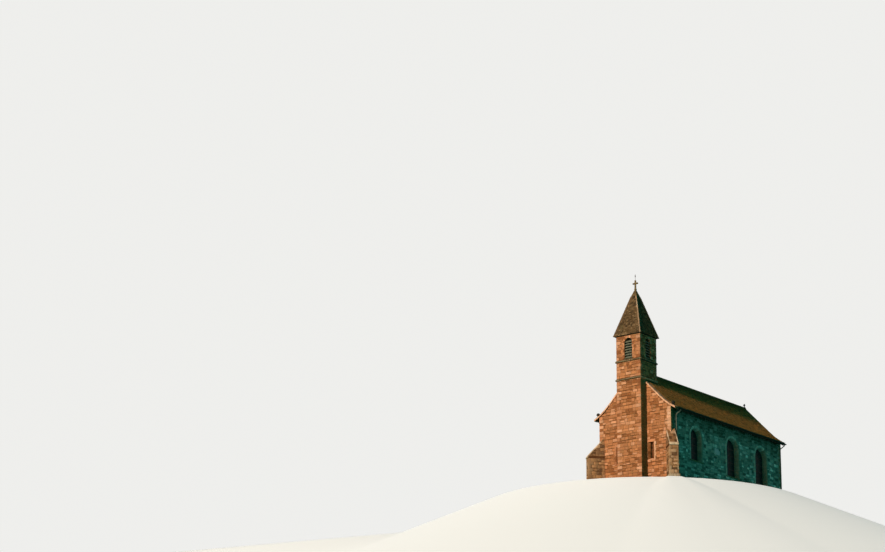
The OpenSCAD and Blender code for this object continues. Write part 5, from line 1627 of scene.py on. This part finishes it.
# %% Nails and ring
nails, head, apart = [], 0.009, 0.045                    # half a nail's head, and its height above or below the ledge
for ledge in ledges:
    for u0, u1 in boards:
        for z in (ledge - apart, ledge + apart):
            x = (u0 + u1) / 2 + rng.uniform(-0.01, 0.01)
            nails.append(cuboid((x - head, door_face - 0.004, z - head), (x + head, door_face + head, z + head)))
ring_x, ring_z, ring_r = 0.50, 1.23, 0.062
turn = np.linspace(0, 2 * math.pi, 33)[:-1]
hanging = np.stack((ring_x + ring_r * np.sin(turn), door_face + 0.020 + 0 * turn,
                    ring_z - ring_r + ring_r * np.cos(turn)), 1)
plate, pin = ([(ring_x, door_face + out, ring_z) for out in outs]
              for outs in ((-0.002, 0.004, 0.008, 0.010), (0.0, 0.034)))
make_piece("door_nails_and_ring", *joined([
    dressed_blocks(nails, edge=0.006, wear=0.0), tube(hanging, 0.009, 10, closed=True),
    tube(plate, (0.048, 0.048, 0.040, 0.020), 24), tube(pin, 0.012, 12)]), iron, "iron")
tell("ironwork")

# %% [markdown]
# Each raking coping carries a small stone knob near its foot, and an iron one ends the ridge at the back. Such
# things are turned on a lathe, so they are drawn as one outline that is carried round an upright axis.

# %% Knobs
def turned_knob(x, y, foot, outline):
    """outline: (height, radius) pairs from the foot up."""
    return tube([(x, y, foot + z) for z, radius in outline], [radius for z, radius in outline], 24)


knob_low, knob_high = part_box("coping_knobs")
knob_x, knob_y = knob_high[0] - 0.11, (knob_low[1] + knob_high[1]) / 2
right_knob = turned_knob(knob_x, knob_y, roof_line(knob_x) - 0.06, [
    (0.0, 0.115), (0.05, 0.115), (0.07, 0.095), (0.10, 0.070), (0.13, 0.070), (0.15, 0.110), (0.19, 0.145),
    (0.25, 0.158), (0.31, 0.145), (0.355, 0.110), (0.385, 0.065), (0.40, 0.022)])
make_piece("coping_balls", *joined([right_knob, mirror_image(*right_knob)]), knob_stone, "knob_stone",
           ["coping_knobs"], sharp=50)
tip_low, tip_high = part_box("ridge_finial")
make_piece("ridge_knob", *turned_knob(0.0, (tip_low[1] + tip_high[1]) / 2, tip_high[2] - 0.001, [
    (-0.36, 0.090), (-0.33, 0.090), (-0.31, 0.050), (-0.27, 0.040), (-0.22, 0.040), (-0.20, 0.075), (-0.16, 0.095),
    (-0.12, 0.095), (-0.08, 0.070), (-0.05, 0.040), (-0.02, 0.028), (0.0, 0.012)]), knob_stone, "iron",
           ["ridge_finial"], sharp=50)
tell("knobs", 2)

# %% [markdown]
# Two small things finish the outside. A grey patch of render on the right wall shows where a hole was once closed,
# and strips of lead keep the rain out where the tower stands in the roof.

# %% Patch and flashing
patch = [[(-1.62, 3.30), (-0.72, 3.24), (-0.66, 3.82), (-1.55, 3.90)]]
plane = wall_plane((nave_half, 0, 0), (1, 0, 0))
make_piece("wall_patch", *face_stones(plane, patch, joint=0.0, lift=0.016, edge=0.05, rough=0.012), patch_render,
           "rubble")
strips, x, z = [], tower_half + 0.013, roof_line(tower_half)
upstand = [(x, z + 0.10), (x + 0.010, z + 0.10), (x + 0.010, z + 0.02), (x, z + 0.01)]
apron = [(x, z + 0.050), (x + 0.012, z + 0.052), (x + 0.09, z - 0.030), (x + 0.08, z - 0.040)]
for side in (-1, 1):
    for start, stop in pairs(np.linspace(nave_front + 0.36, tower_back - 0.01, 5)):
        for outline in (upstand, apron):
            strips.append(drawn_out(outline, lambda x, z, y: (side * x, y, z), start, stop - 0.004))
    for x0, x1 in ((0.002, 0.598), (0.602, tower_half + 0.118)):
        outline = [(0.013, 0.12), (0.023, 0.12), (0.023, 0.02), (0.013, 0.01)]
        strips.append(drawn_out(outline, lambda out, up, x: (side * x, tower_back + out, roof_line(x) + up), x0, x1))
make_blocks("lead_flashing", strips, mossy_lead, "grey_zinc", edge=0.004, wear=0.001)
tell("patch and flashing", 2)
